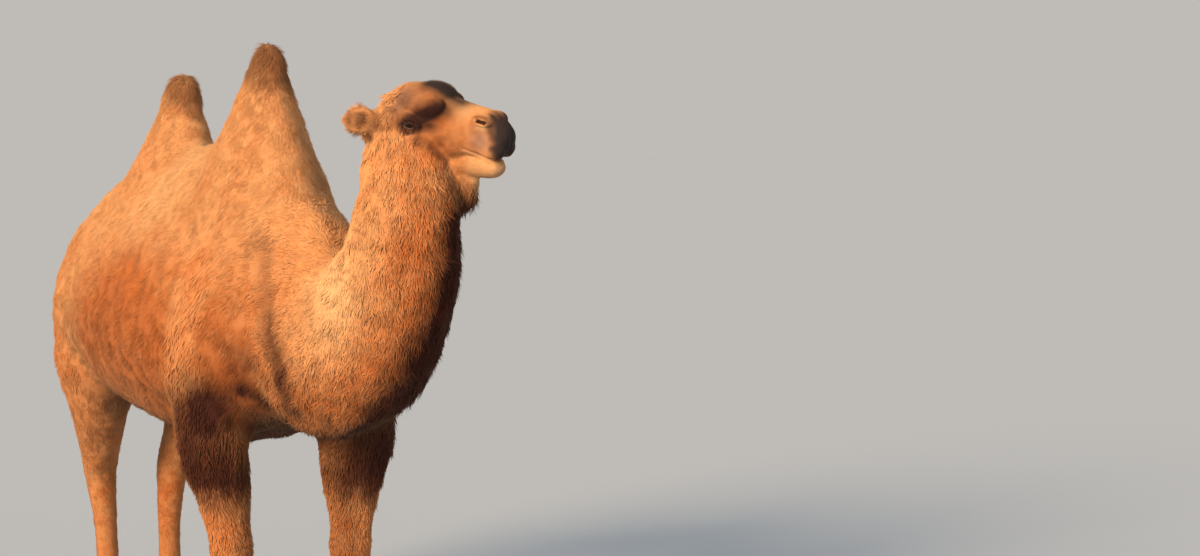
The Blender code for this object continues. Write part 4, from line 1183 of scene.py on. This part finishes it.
def growCoat(name, chosen, count, rings, seed):
    # Each tuft is a three-sided lock along a bent line: root + lie * L s + normal * H (2s - s^2)
    # + curl * sin(turns) s, for s from 0 at the root to 1 at the tip.
    rng = np.random.default_rng(seed)
    faces = np.flatnonzero(chosen & (growth > 0))
    total = np.cumsum(growth[faces])
    draws = (np.arange(count) + rng.random(count)) / count * total[-1]
    faces = faces[np.searchsorted(total, draws).clip(0, len(faces) - 1)]
    a, b = rng.random(count), rng.random(count)
    fold = a + b > 1
    a, b = np.where(fold, 1 - a, a), np.where(fold, 1 - b, b)
    shares = np.stack([1 - a - b, a, b], axis=1)[..., None]
    root = (cornerPoints[faces] * shares).sum(axis=1)
    normal = unit((normals[corners[faces]] * shares).sum(axis=1))
    here = along(root)
    h = intoHead(root)
    face = ofFace(root) * rise(ofHead(here), 0.2, 0.6)
    beard = bell(h, (0, 0.24, -0.19), (0.09, 0.14, 0.10)) * (1 - face)
    crown = bell(h, (0, 0.24, 0.13), (0.07, 0.11, 0.06))
    throat = rise(-here["neck"]["up"], -0.1, 0.7) * here["neck"]["weight"]
    neckSide = here["neck"]["weight"] * (1 - throat)
    woolly = rise(here["depth"], 0.003, 0.006)
    length = here["length"] + tuft["fringe"] * (beard + crown + throat)
    length *= rng.uniform(0.65, 1.2, count)
    # Fine waves of the wool: locks on a crest stand a little higher and are painted lighter, as
    # painted light.
    bent = root + 0.03 * noiseVector(root, 0.11, 41)
    wave = noise(bent, (0.020, 0.020, 0.13), 6) * (1 - throat)
    bent = root + 0.02 * noiseVector(root, 0.05, 42)
    wave = wave + 1.3 * throat * noise(bent, (0.018, 0.018, 0.034), 7)
    wave = wave * (1 - face) * woolly
    height = here["depth"] * rng.uniform(0.65, 1.1, count) + tuft["wave"] * wave + 0.009 * crown
    least = tuft["least"] * (1 - face) + tuft["leastOnFace"] * face
    height = np.maximum(height * (1 - tuft["neckFlat"] * neckSide), least)
    # A tip keeps its height over a curving wave: its lift is the wave's rise along the lock,
    # less what the wave's slope at the root already gives.
    flat = here["lie"] - normal * (here["lie"] * normal).sum(axis=1, keepdims=True)
    flat = unit(flat) * length[:, None]
    start = woolFolds(root, here)
    lift = woolFolds(root + flat, here) - start - 8 * (woolFolds(root + flat / 8, here) - start)
    lift = finish["foldDepth"] * (lift * woolly).clip(-0.3, 0.8)
    width = here["width"] * rng.uniform(0.75, 1.25, count)
    curl = here["curl"] * rng.uniform(0.4, 1.3, count) + 0.004 * beard + 0.003 * throat
    curl *= 1 - 0.6 * neckSide
    lie = here["lie"] + np.array([0, 0, -1.0]) * (beard + 0.4 * throat)[:, None]
    # Hair on the rim of an ear fans outwards.
    for ear in ("earLeft", "earRight"):
        across = here[ear]["across"]
        rim = here[ear]["weight"] * rise(abs(across), 0.022, 0.034)
        outwards = spines[ear]["side"][here["nearest"][:, spineNames.index(ear)]]
        lie = lie + outwards * (1.3 * rim * np.sign(across))[:, None]
        length = length + tuft["fringe"] * rim
    stray = (tuft["stray"] * (1 - 0.6 * face))[:, None]
    own = 0.6 * stray * rng.normal(size=(count, 3))
    lie = unit(lie) + stray * noiseVector(root, 0.07, seed + 20) + own
    lie = unit(lie - normal * (lie * normal).sum(axis=1, keepdims=True))
    side = np.cross(normal, lie)
    gather = (0.20 + 0.16 * throat) * length * (1 - face)
    gather = noiseVector(root, 0.022, 60) * gather[:, None] + normal * lift[:, None]
    phase = rng.uniform(0, 2 * math.pi, count)[:, None, None]
    turns = rng.uniform(0.7, 1.2, count)[:, None, None]
    # Arrays run over tufts, points along a tuft, and the three axes.
    s = np.append(np.arange(rings) / (rings - 0.15), 1.0)[None, :, None]
    curl, up = curl[:, None, None], normal[:, None]
    line = (
        root[:, None]
        - up * (0.0015 - 0.0012 * face)[:, None, None]
        + lie[:, None] * (length[:, None, None] * s)
        + up * (height[:, None, None] * (2 * s - s * s))
        + gather[:, None] * s * s
        + side[:, None] * curl * s * np.sin(2 * math.pi * turns * s + phase)
        + up * 0.5 * curl * s * np.cos(2 * math.pi * turns * s + phase)
    )
    taper = np.interp(s[0, :-1, 0], [0, 0.45, 1], [0.75, 1.0, 0.45])
    spread = np.array([90, 210, 330])[None, :, None] * math.pi / 180
    ring = side[:, None] * np.cos(spread) * 0.5 + up * np.sin(spread) * 0.30
    ring = ring[:, None] * (width[:, None] * taper)[..., None, None]
    ringPoints = (line[:, :-1, None] + ring).reshape(count, 3 * rings, 3)
    verts = np.concatenate([ringPoints, line[:, -1:]], axis=1).reshape(-1, 3)
    verts[:, 2] = np.maximum(verts[:, 2], 0.0015)
    coatMesh = meshOfTufts(name, verts + shift, count, rings)
    layer = coatMesh.uv_layers.new(name="OFBake")
    layer.data.foreach_set("uv", chartOf(here, rings).astype(np.float32).ravel())
    # Painted shade darkens each lock at its root, and painted light lightens it on the crest of a
    # wave.
    level = np.append(np.repeat(s[0, :-1, 0], 3), 1.0)
    tone = rng.normal(1.0, 0.06, count).clip(0.8, 1.2) + 0.16 * wave
    shade = (0.84 + 0.20 * level)[None] * tone[:, None]
    shade = shade + (1 - shade) * (0.5 * face)[:, None]
    per = 3 * rings + 1  # points of a tuft
    putAttribute(coatMesh, "marks", "FLOAT_COLOR", np.repeat(markings(root, here), per, axis=0))
    putAttribute(coatMesh, "warm", "FLOAT", np.repeat(russetAndShade(root, here), per))
    putAttribute(coatMesh, "shade", "FLOAT", shade)
    # Soft light: each point's normal leans from the lock's own side towards the skin's normal.
    crisp = (here["earLeft"]["weight"] + here["earRight"]["weight"] + 0.7 * beard).clip(0, 1)
    soft = tuft["soft"] * (1 - crisp)[:, None, None]
    own = side[:, None] * np.cos(spread) + up * (soft + np.sin(spread))
    leaning = [np.tile(own, (1, rings, 1)), up * (0.25 + soft) + 0.4 * lie[:, None]]
    leaning = unit(np.concatenate(leaning, axis=1)).reshape(-1, 3)
    coatMesh.normals_split_custom_set_from_vertices(leaning.tolist())
    piece = linked(name, coatMesh)
    piece.data.materials.append(woolMaterial)
    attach(piece, "root")
    print(name, count, "tufts", count * (6 * (rings - 1) + 4), "triangles")


def toLinear(code):
    # sRGB to linear: c / 12.92 up to 0.04045, and ((c + 0.055) / 1.055)^2.4 above.
    c = np.array([int(code[k : k + 2], 16) for k in (1, 3, 5)]) / 255
    c = np.where(c <= 0.04045, c / 12.92, ((c + 0.055) / 1.055) ** 2.4)
    return (*c.tolist(), 1.0)


def addNode(tree, kind, inputs=None, **settings):
    # A node with its settings, and with inputs given as values or linked from sockets.
    made = tree.nodes.new(kind)
    for key, value in settings.items():
        setattr(made, key, value)
    for key, value in (inputs or {}).items():
        if isinstance(value, bpy.types.NodeSocket):
            tree.links.new(value, made.inputs[key])
        else:
            made.inputs[key].default_value = value
    return made


def newMaterial(name):
    material = bpy.data.materials.new(name)
    material.use_nodes = True
    tree = material.node_tree
    tree.nodes.clear()
    return material, tree


coatColours = {
    "sand": "#D49A66",  # new wool on flank and shoulder
    # Russet also stands for painted shade where the warm attribute raises its share.
    "russet": "#B96A34",  # deeper locks
    # Brown also stands for painted shade: in the creases, under the belly, on the low flank, the
    # legs' backs and inner sides, the neck's left, the ear bowls and the nostrils.
    "brown": "#3C1609",  # mane, forearms and hump tips
    "cream": "#E6BC88",
    "bare": "#A8806A",  # thin hair over pinkish skin
    # Slate: the grey of painted sky-lit shade.
    "slate": "#2E2829",
}


def coatColour(tree, place):
    # Wool: sand and russet in soft patches, under the markings that the piece carries. Five
    # patches to a metre, 200 mm each, and 45 locks of 22 mm.
    marks = addNode(tree, "ShaderNodeAttribute", attribute_name="marks")
    parts = addNode(tree, "ShaderNodeSeparateColor", {0: marks.outputs["Color"]})
    grain = {"Vector": place, "Roughness": 0.6}
    broad = addNode(tree, "ShaderNodeTexNoise", grain | {"Scale": 5.0, "Detail": 4.0})
    fine = addNode(tree, "ShaderNodeTexNoise", grain | {"Scale": 45.0, "Detail": 3.0})
    both = addNode(
        tree, "ShaderNodeMath", {0: broad.outputs["Fac"], 1: fine.outputs["Fac"]}, operation="ADD"
    )
    # The warm attribute raises the russet share: painted shade on the low flank, the neck's front
    # and behind the shoulder.
    warm = addNode(tree, "ShaderNodeAttribute", attribute_name="warm")
    both = addNode(
        tree, "ShaderNodeMath", {0: both.outputs[0], 1: warm.outputs["Fac"]}, operation="ADD"
    )
    span = {"Value": both.outputs[0], "From Min": 0.85, "From Max": 1.9}
    share = addNode(tree, "ShaderNodeMapRange", span).outputs[0]
    colour = toLinear(coatColours["sand"])
    for channel, key in (
        (share, "russet"),
        (parts.outputs[1], "cream"),
        (parts.outputs[2], "bare"),
        (parts.outputs[0], "brown"),
        (marks.outputs["Alpha"], "slate"),
    ):
        mix = {0: channel, 6: colour, 7: toLinear(coatColours[key])}
        colour = addNode(tree, "ShaderNodeMix", mix, data_type="RGBA").outputs[2]
    # The shade attribute carries painted shade at the roots and on the hide, and painted light on
    # the crests.
    shade = addNode(tree, "ShaderNodeAttribute", attribute_name="shade").outputs["Fac"]
    toned = {"Value": shade, "Color": colour}
    return addNode(tree, "ShaderNodeHueSaturation", toned).outputs[0]


def coatMaterial(name, bumpScale, bumpHeight):
    # Undyed camel wool, unbrushed: matt, with a soft bloom where the hair ends catch the light.
    material, tree = newMaterial(name)
    place = addNode(tree, "ShaderNodeTexCoord").outputs["Object"]
    grain = {"Vector": place, "Scale": bumpScale, "Detail": 3.0, "Roughness": 0.6}
    fibre = addNode(tree, "ShaderNodeTexNoise", grain).outputs["Fac"]
    relief = {"Height": fibre, "Distance": bumpHeight, "Strength": 0.7}
    bump = addNode(tree, "ShaderNodeBump", relief)
    matt = {"Base Color": coatColour(tree, place), "Roughness": 0.85, "Specular IOR Level": 0.25}
    sheen = {"Sheen Weight": 0.15, "Sheen Roughness": 0.45, "Sheen Tint": toLinear("#F2C89A")}
    wool = matt | sheen | {"Normal": bump.outputs[0]}
    shader = addNode(tree, "ShaderNodeBsdfPrincipled", wool)
    addNode(tree, "ShaderNodeOutputMaterial", {"Surface": shader.outputs[0]})
    return material


# A camel's hair is 0.02 mm thick, too fine to show, so the relief is as coarse as bundles of
# hair: 4.5 mm in the tufts and 3 mm where the hide shows between them.
woolMaterial = coatMaterial("camelWool", 220.0, 0.0012)
skinMaterial = coatMaterial("camelHide", 330.0, 0.0016)

skin.name = skin.data.name = "camelSkin"
setPoints(mesh, points + shift)
mesh.materials.clear()
mesh.materials.append(skinMaterial)
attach(skin, "root")
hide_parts(*fleshNodes)

leftSide = cornerPoints[:, 0, 0] > 0


def grows(*names):
    # The faces that lie nearest to these spines.
    return np.isin(mainOf, [spineNames.index(n) for n in names])


coatPieces = [
    # name, faces, tufts, rings of a tuft
    ("coatTrunkLeft", grows("trunk") & leftSide, 46500, 1),
    ("coatTrunkRight", grows("trunk") & ~leftSide, 47500, 1),
    ("coatHumps", grows("humpFront", "humpRear"), 45000, 1),
    ("coatNeckLeft", grows("neck") & leftSide, 19000, 2),
    ("coatNeckRight", grows("neck") & ~leftSide, 19000, 2),
    ("coatHead", grows("skull", "jaw", "earLeft", "earRight"), 48500, 1),
    ("coatForelegs", grows("foreLeft", "foreRight"), 19000, 2),
    ("coatHindlegs", grows("hindLeft", "hindRight", "tail"), 43000, 1),
]
for seed, (name, chosen, count, rings) in enumerate(coatPieces):
    growCoat(name, chosen, count, rings, seed + 1)

# A wet brown eye: nearly black, with a wide flat pupil and one sharp highlight.
irisRings = [
    (0.0, "#050302"),
    (0.30, "#050302"),
    (0.36, "#2A1509"),
    (0.62, "#1A0C05"),
    (0.70, "#0A0504"),
    (1.0, "#2A1C16"),
]
eyeMaterial, tree = newMaterial("eyeWet")
ringAt = addNode(tree, "ShaderNodeAttribute", attribute_name="iris").outputs["Fac"]
ramp = addNode(tree, "ShaderNodeValToRGB", {0: ringAt})
stops = ramp.color_ramp.elements
for spot, code in irisRings:
    stop = stops.new(spot) if 0.0 < spot < 1.0 else stops[-int(spot)]
    stop.color = toLinear(code)
gloss = {"Roughness": 0.06, "IOR": 1.336, "Specular IOR Level": 0.4}
tears = {"Coat Weight": 0.15, "Coat Roughness": 0.03}
wet = {"Base Color": ramp.outputs[0]} | gloss | tears
shader = addNode(tree, "ShaderNodeBsdfPrincipled", wet)
addNode(tree, "ShaderNodeOutputMaterial", {"Surface": shader.outputs[0]})

# Lid edges: smooth dark skin, a little moist. Its creases of 0.5 mm are too fine to show and
# are drawn 4 mm wide.
lidMaterial, tree = newMaterial("lidSkin")
place = addNode(tree, "ShaderNodeTexCoord").outputs["Object"]
mottle = addNode(tree, "ShaderNodeTexNoise", {"Vector": place, "Scale": 260.0, "Detail": 2.0})
mottle = mottle.outputs["Fac"]
relief = {"Height": mottle, "Distance": 0.0006, "Strength": 0.5}
bump = addNode(tree, "ShaderNodeBump", relief)
mix = {0: mottle, 6: toLinear("#3A221A"), 7: toLinear("#7A5546")}
colour = addNode(tree, "ShaderNodeMix", mix, data_type="RGBA").outputs[2]
moist = {"Base Color": colour, "Roughness": 0.45, "Normal": bump.outputs[0]}
shader = addNode(tree, "ShaderNodeBsdfPrincipled", moist)
addNode(tree, "ShaderNodeOutputMaterial", {"Surface": shader.outputs[0]})

# Lashes and nails: dark keratin with a low shine, in growth layers 2.4 mm thick that run 17 mm
# across.
hornMaterial, tree = newMaterial("keratin")
place = addNode(tree, "ShaderNodeTexCoord").outputs["Object"]
grow = addNode(tree, "ShaderNodeMapping", {"Vector": place, "Scale": (60.0, 60.0, 420.0)})
layers = {"Vector": grow.outputs[0], "Scale": 1.0, "Detail": 3.0}
layers = addNode(tree, "ShaderNodeTexNoise", layers).outputs["Fac"]
bump = addNode(tree, "ShaderNodeBump", {"Height": layers, "Distance": 0.0008, "Strength": 0.6})
mix = {0: layers, 6: toLinear("#1B1310"), 7: toLinear("#5B4535")}
colour = addNode(tree, "ShaderNodeMix", mix, data_type="RGBA").outputs[2]
horn = {"Base Color": colour, "Roughness": 0.62, "Specular IOR Level": 0.3}
shader = addNode(tree, "ShaderNodeBsdfPrincipled", horn | {"Normal": bump.outputs[0]})
addNode(tree, "ShaderNodeOutputMaterial", {"Surface": shader.outputs[0]})


def eyeball(tag, side):
    # A sphere in rings round the gaze, with the clear front swelling out by a small bell.
    centre, gaze, long, high = eyeFrame(side)
    polar = np.linspace(0.004, math.pi - 0.004, 48)[:, None]
    turn = np.linspace(0, 2 * math.pi, 64, endpoint=False)[None]
    radius = eyeLook["ball"] + 0.0016 * np.exp(-((polar / 0.52) ** 4))
    around = np.cos(turn)[..., None] * long + np.sin(turn)[..., None] * high
    ball = np.cos(polar)[..., None] * gaze + np.sin(polar)[..., None] * around
    grid = outOfHead(radius[..., None] * ball + centre) + shift
    piece = linked("eyeball" + tag, meshOfGrids("eyeball" + tag, [grid]))
    smoothShaded(piece.data)
    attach(piece, "root")
    # The iris runs to 0.7 of a radian; the pupil is wider than it is high.
    flat = np.sqrt((np.cos(turn) * 0.75) ** 2 + (np.sin(turn) * 1.25) ** 2)
    flat = np.sin(polar) * flat / math.sin(0.95)
    iris = np.where(polar > math.pi / 2, 1.0, flat.clip(0, 1))
    putAttribute(piece.data, "iris", "FLOAT", iris)
    piece.data.materials.append(eyeMaterial)
    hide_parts("eye_" + tag.lower())


def lidEdge(tag, side):
    # A soft cord along the almond of the opening, thicker over the upper lid.
    centre, gaze, long, high = eyeFrame(side)
    t = np.linspace(0, 2 * math.pi, 72, endpoint=False)
    u = np.cos(t) * eyeLook["halfLong"]
    v = np.sin(t) * np.where(np.sin(t) > 0, eyeLook["halfHigh"], eyeLook["halfLow"])
    out = unit(gaze + u[:, None] * long + v[:, None] * high)
    path = out * (eyeLook["lidShell"] - 0.0012)
    tangent = unit(np.roll(path, -1, axis=0) - np.roll(path, 1, axis=0))
    cross = np.cross(tangent, out)
    thick = 0.0018 + 0.0008 * np.clip(np.sin(t), 0, 1)
    k = np.linspace(0, 2 * math.pi, 14, endpoint=False)[None, :, None]
    section = np.cos(k) * out[:, None] + np.sin(k) * cross[:, None]
    tube = path[:, None] + thick[:, None, None] * section
    n, m = tube.shape[:2]
    a = np.arange(n)[:, None] * m + np.arange(m)[None]
    b = np.arange(n)[:, None] * m + (np.arange(m)[None] + 1) % m
    quads = np.stack([a, b, np.roll(b, -1, axis=0), np.roll(a, -1, axis=0)], axis=-1)
    points = outOfHead(tube.reshape(-1, 3) + centre) + shift
    lid = bpy.data.meshes.new("lidEdge" + tag)
    lid.from_pydata(points.tolist(), [], quads.reshape(-1, 4).tolist())
    smoothShaded(facedOutwards(lid))
    lid.materials.append(lidMaterial)
    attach(linked("lidEdge" + tag, lid), "root")


lashLook = {
    "count": 46,  # in two rows
    "shortest": 0.018,
    "longest": 0.027,
    "thick": 0.0006,  # radius at the root
    "droop": 0.55,  # share of its length that a lash sinks at its tip
}


def lashes(tag, side):
    # Two rows of long lashes on the upper lid: bent spikes that run out and then droop.
    rng = np.random.default_rng(50 + side)
    centre, gaze, long, high = eyeFrame(side)
    count = lashLook["count"]
    t = np.tile(np.linspace(0.30, math.pi - 0.30, count // 2), 2) + rng.normal(0, 0.03, count)
    u, v = np.cos(t) * eyeLook["halfLong"], np.sin(t) * eyeLook["halfHigh"]
    out = unit(gaze + u[:, None] * long + v[:, None] * high)
    root = out * (eyeLook["ball"] + 0.002)
    fan = unit(out + 0.35 * high + 0.25 * np.cos(t)[:, None] * long)
    reach = rng.uniform(lashLook["shortest"], lashLook["longest"], count)[:, None, None]
    s = np.linspace(0, 1, 6)[None, :, None]
    line = root[:, None] + fan[:, None] * reach * s - high * reach * lashLook["droop"] * s * s
    thin = lashLook["thick"] * (1 - s * 0.9)
    spread = np.array([0, 120, 240])[None, :, None] * math.pi / 180
    ring = np.cos(spread) * long + np.sin(spread) * unit(np.cross(fan, long))[:, None]
    tube = line[:, :, None] + ring[:, None] * thin[..., None]
    grids = outOfHead(tube.reshape(-1, 3) + centre).reshape(tube.shape) + shift
    piece = linked("lashes" + tag, meshOfGrids("lashes" + tag, list(grids)))
    piece.data.materials.append(hornMaterial)
    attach(piece, "root")


nailLook = {
    "tip": 0.45,  # share of the length that rounds off at the front
    "root": 0.12,  # and at the back
    "narrowing": 0.18,
    "lowering": 0.30,
    "squareness": 0.8,  # power of the section's cosine and sine; 1 is an ellipse
}


def nail(node):
    # A blunt shell in its box: a squircle section that narrows and rounds towards the front.
    low, high = np.array(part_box(node))
    middle, half = (low + high) / 2, (high - low) / 2
    t = np.linspace(0, 1, 24)[:, None]
    turn = np.linspace(0, 2 * math.pi, 40, endpoint=False)[None]
    close = np.sqrt(1 - (1 - np.clip((1 - t) / nailLook["tip"], 0, 1)) ** 2).clip(0.03, 1)
    close = close * np.sqrt(np.clip(t / nailLook["root"], 0.02, 1))
    c = np.sign(np.cos(turn)) * abs(np.cos(turn)) ** nailLook["squareness"]
    s = np.sign(np.sin(turn)) * abs(np.sin(turn)) ** nailLook["squareness"]
    x = close * (1 - nailLook["narrowing"] * t) * c
    z = close * (1 - nailLook["lowering"] * t) * s - nailLook["lowering"] * t * close
    grid = np.stack([x, 1 - 2 * t + 0 * turn, z.clip(-1, 1)], axis=-1)
    grid = grid * (half * (0.96, 1.0, 0.98)) + middle
    piece = linked("nail_" + node, meshOfGrids("nail_" + node, [grid]))
    smoothShaded(piece.data)
    piece.data.materials.append(hornMaterial)
    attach(piece, "root")
    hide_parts(node)


for tag, side in (("Left", 1), ("Right", -1)):
    eyeball(tag, side)
    lidEdge(tag, side)
    lashes(tag, side)
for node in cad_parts:
    if "nail" in node:
        nail(node)
print("eyes and nails made")

# Studio: a wide floor, two lamps, an even sky and the camera. The floor is matt paint, which
# gives no reflection, with clouds 1.7 m wide that hardly show.
floorMesh = bpy.data.meshes.new("studioFloor")
floorCorners = [(-300, -300, 0), (300, -300, 0), (300, 300, 0), (-300, 300, 0)]
floorMesh.from_pydata(floorCorners, [], [(0, 1, 2, 3)])
floor = linked("studioFloor", floorMesh)
floorMaterial, tree = newMaterial("paleFloor")
place = addNode(tree, "ShaderNodeTexCoord").outputs["Object"]
mottle = addNode(tree, "ShaderNodeTexNoise", {"Vector": place, "Scale": 0.6, "Detail": 2.0})
mix = {0: mottle.outputs["Fac"], 6: toLinear("#B6C1CC"), 7: toLinear("#B7C1CC")}
colour = addNode(tree, "ShaderNodeMix", mix, data_type="RGBA").outputs[2]
paint = {"Base Color": colour, "Roughness": 1.0, "Specular IOR Level": 0.0}
shader = addNode(tree, "ShaderNodeBsdfPrincipled", paint)
addNode(tree, "ShaderNodeOutputMaterial", {"Surface": shader.outputs[0]})
floorMesh.materials.append(floorMaterial)

studio = {
    "key": {"at": (-6.1, -2.8, 3.7), "angle": 20, "power": 4.8, "colour": "#FFDDB8"},
    "fill": {"at": (1.5, -6.5, 4.5), "angle": 60, "power": 0.45, "colour": "#E8EDF5"},
    "sky": ("#E3DFDA", 0.68),
}
for name in ("key", "fill"):
    own = studio[name]
    lamp = bpy.data.lights.new(name + "Light", "SUN")
    lamp.angle, lamp.energy = math.radians(own["angle"]), own["power"]
    lamp.color = toLinear(own["colour"])[:3]
    holder = bpy.data.objects.new(name + "Light", lamp)
    holder.location = own["at"]
    aim = Vector((0, 0, 1.2)) - Vector(own["at"])
    holder.rotation_euler = aim.to_track_quat("-Z", "Y").to_euler()
    bpy.context.scene.collection.objects.link(holder)
world = bpy.data.worlds.new("studioSky")
bpy.context.scene.world = world
world.use_nodes = True
sky = world.node_tree.nodes["Background"]
sky.inputs[0].default_value = toLinear(studio["sky"][0])
sky.inputs[1].default_value = studio["sky"][1]

lens = {
    "turn": -25,  # degrees round the camel from straight ahead
    "distance": 8.5,
    "height": 1.75,
    "forward": 0.37,  # the point that it circles
    "focal": 79.56,
    "right": 7.136,  # degrees that the sight turns off that point
    "down": 2.956,
}
turn = math.radians(lens["turn"])
back = Vector((math.sin(turn), -math.cos(turn), 0))
camera = bpy.data.objects.new("camera", bpy.data.cameras.new("camera"))
camera.data.sensor_width, camera.data.lens = 36, lens["focal"]
aim = Vector((0, -lens["forward"], lens["height"]))
camera.location = aim + back * lens["distance"] + Vector(shift)
swing, pitch = math.radians(lens["right"]), math.radians(lens["down"])
sight = Matrix.Rotation(-swing, 3, "Z") @ (-back)
sight = (sight * math.cos(pitch) + Vector((0, 0, -math.sin(pitch)))).normalized()
camera.rotation_euler = sight.to_track_quat("-Z", "Y").to_euler()
bpy.context.scene.collection.objects.link(camera)
bpy.context.scene.camera = camera
bpy.context.scene.view_settings.view_transform = "Standard"

print("studio set")
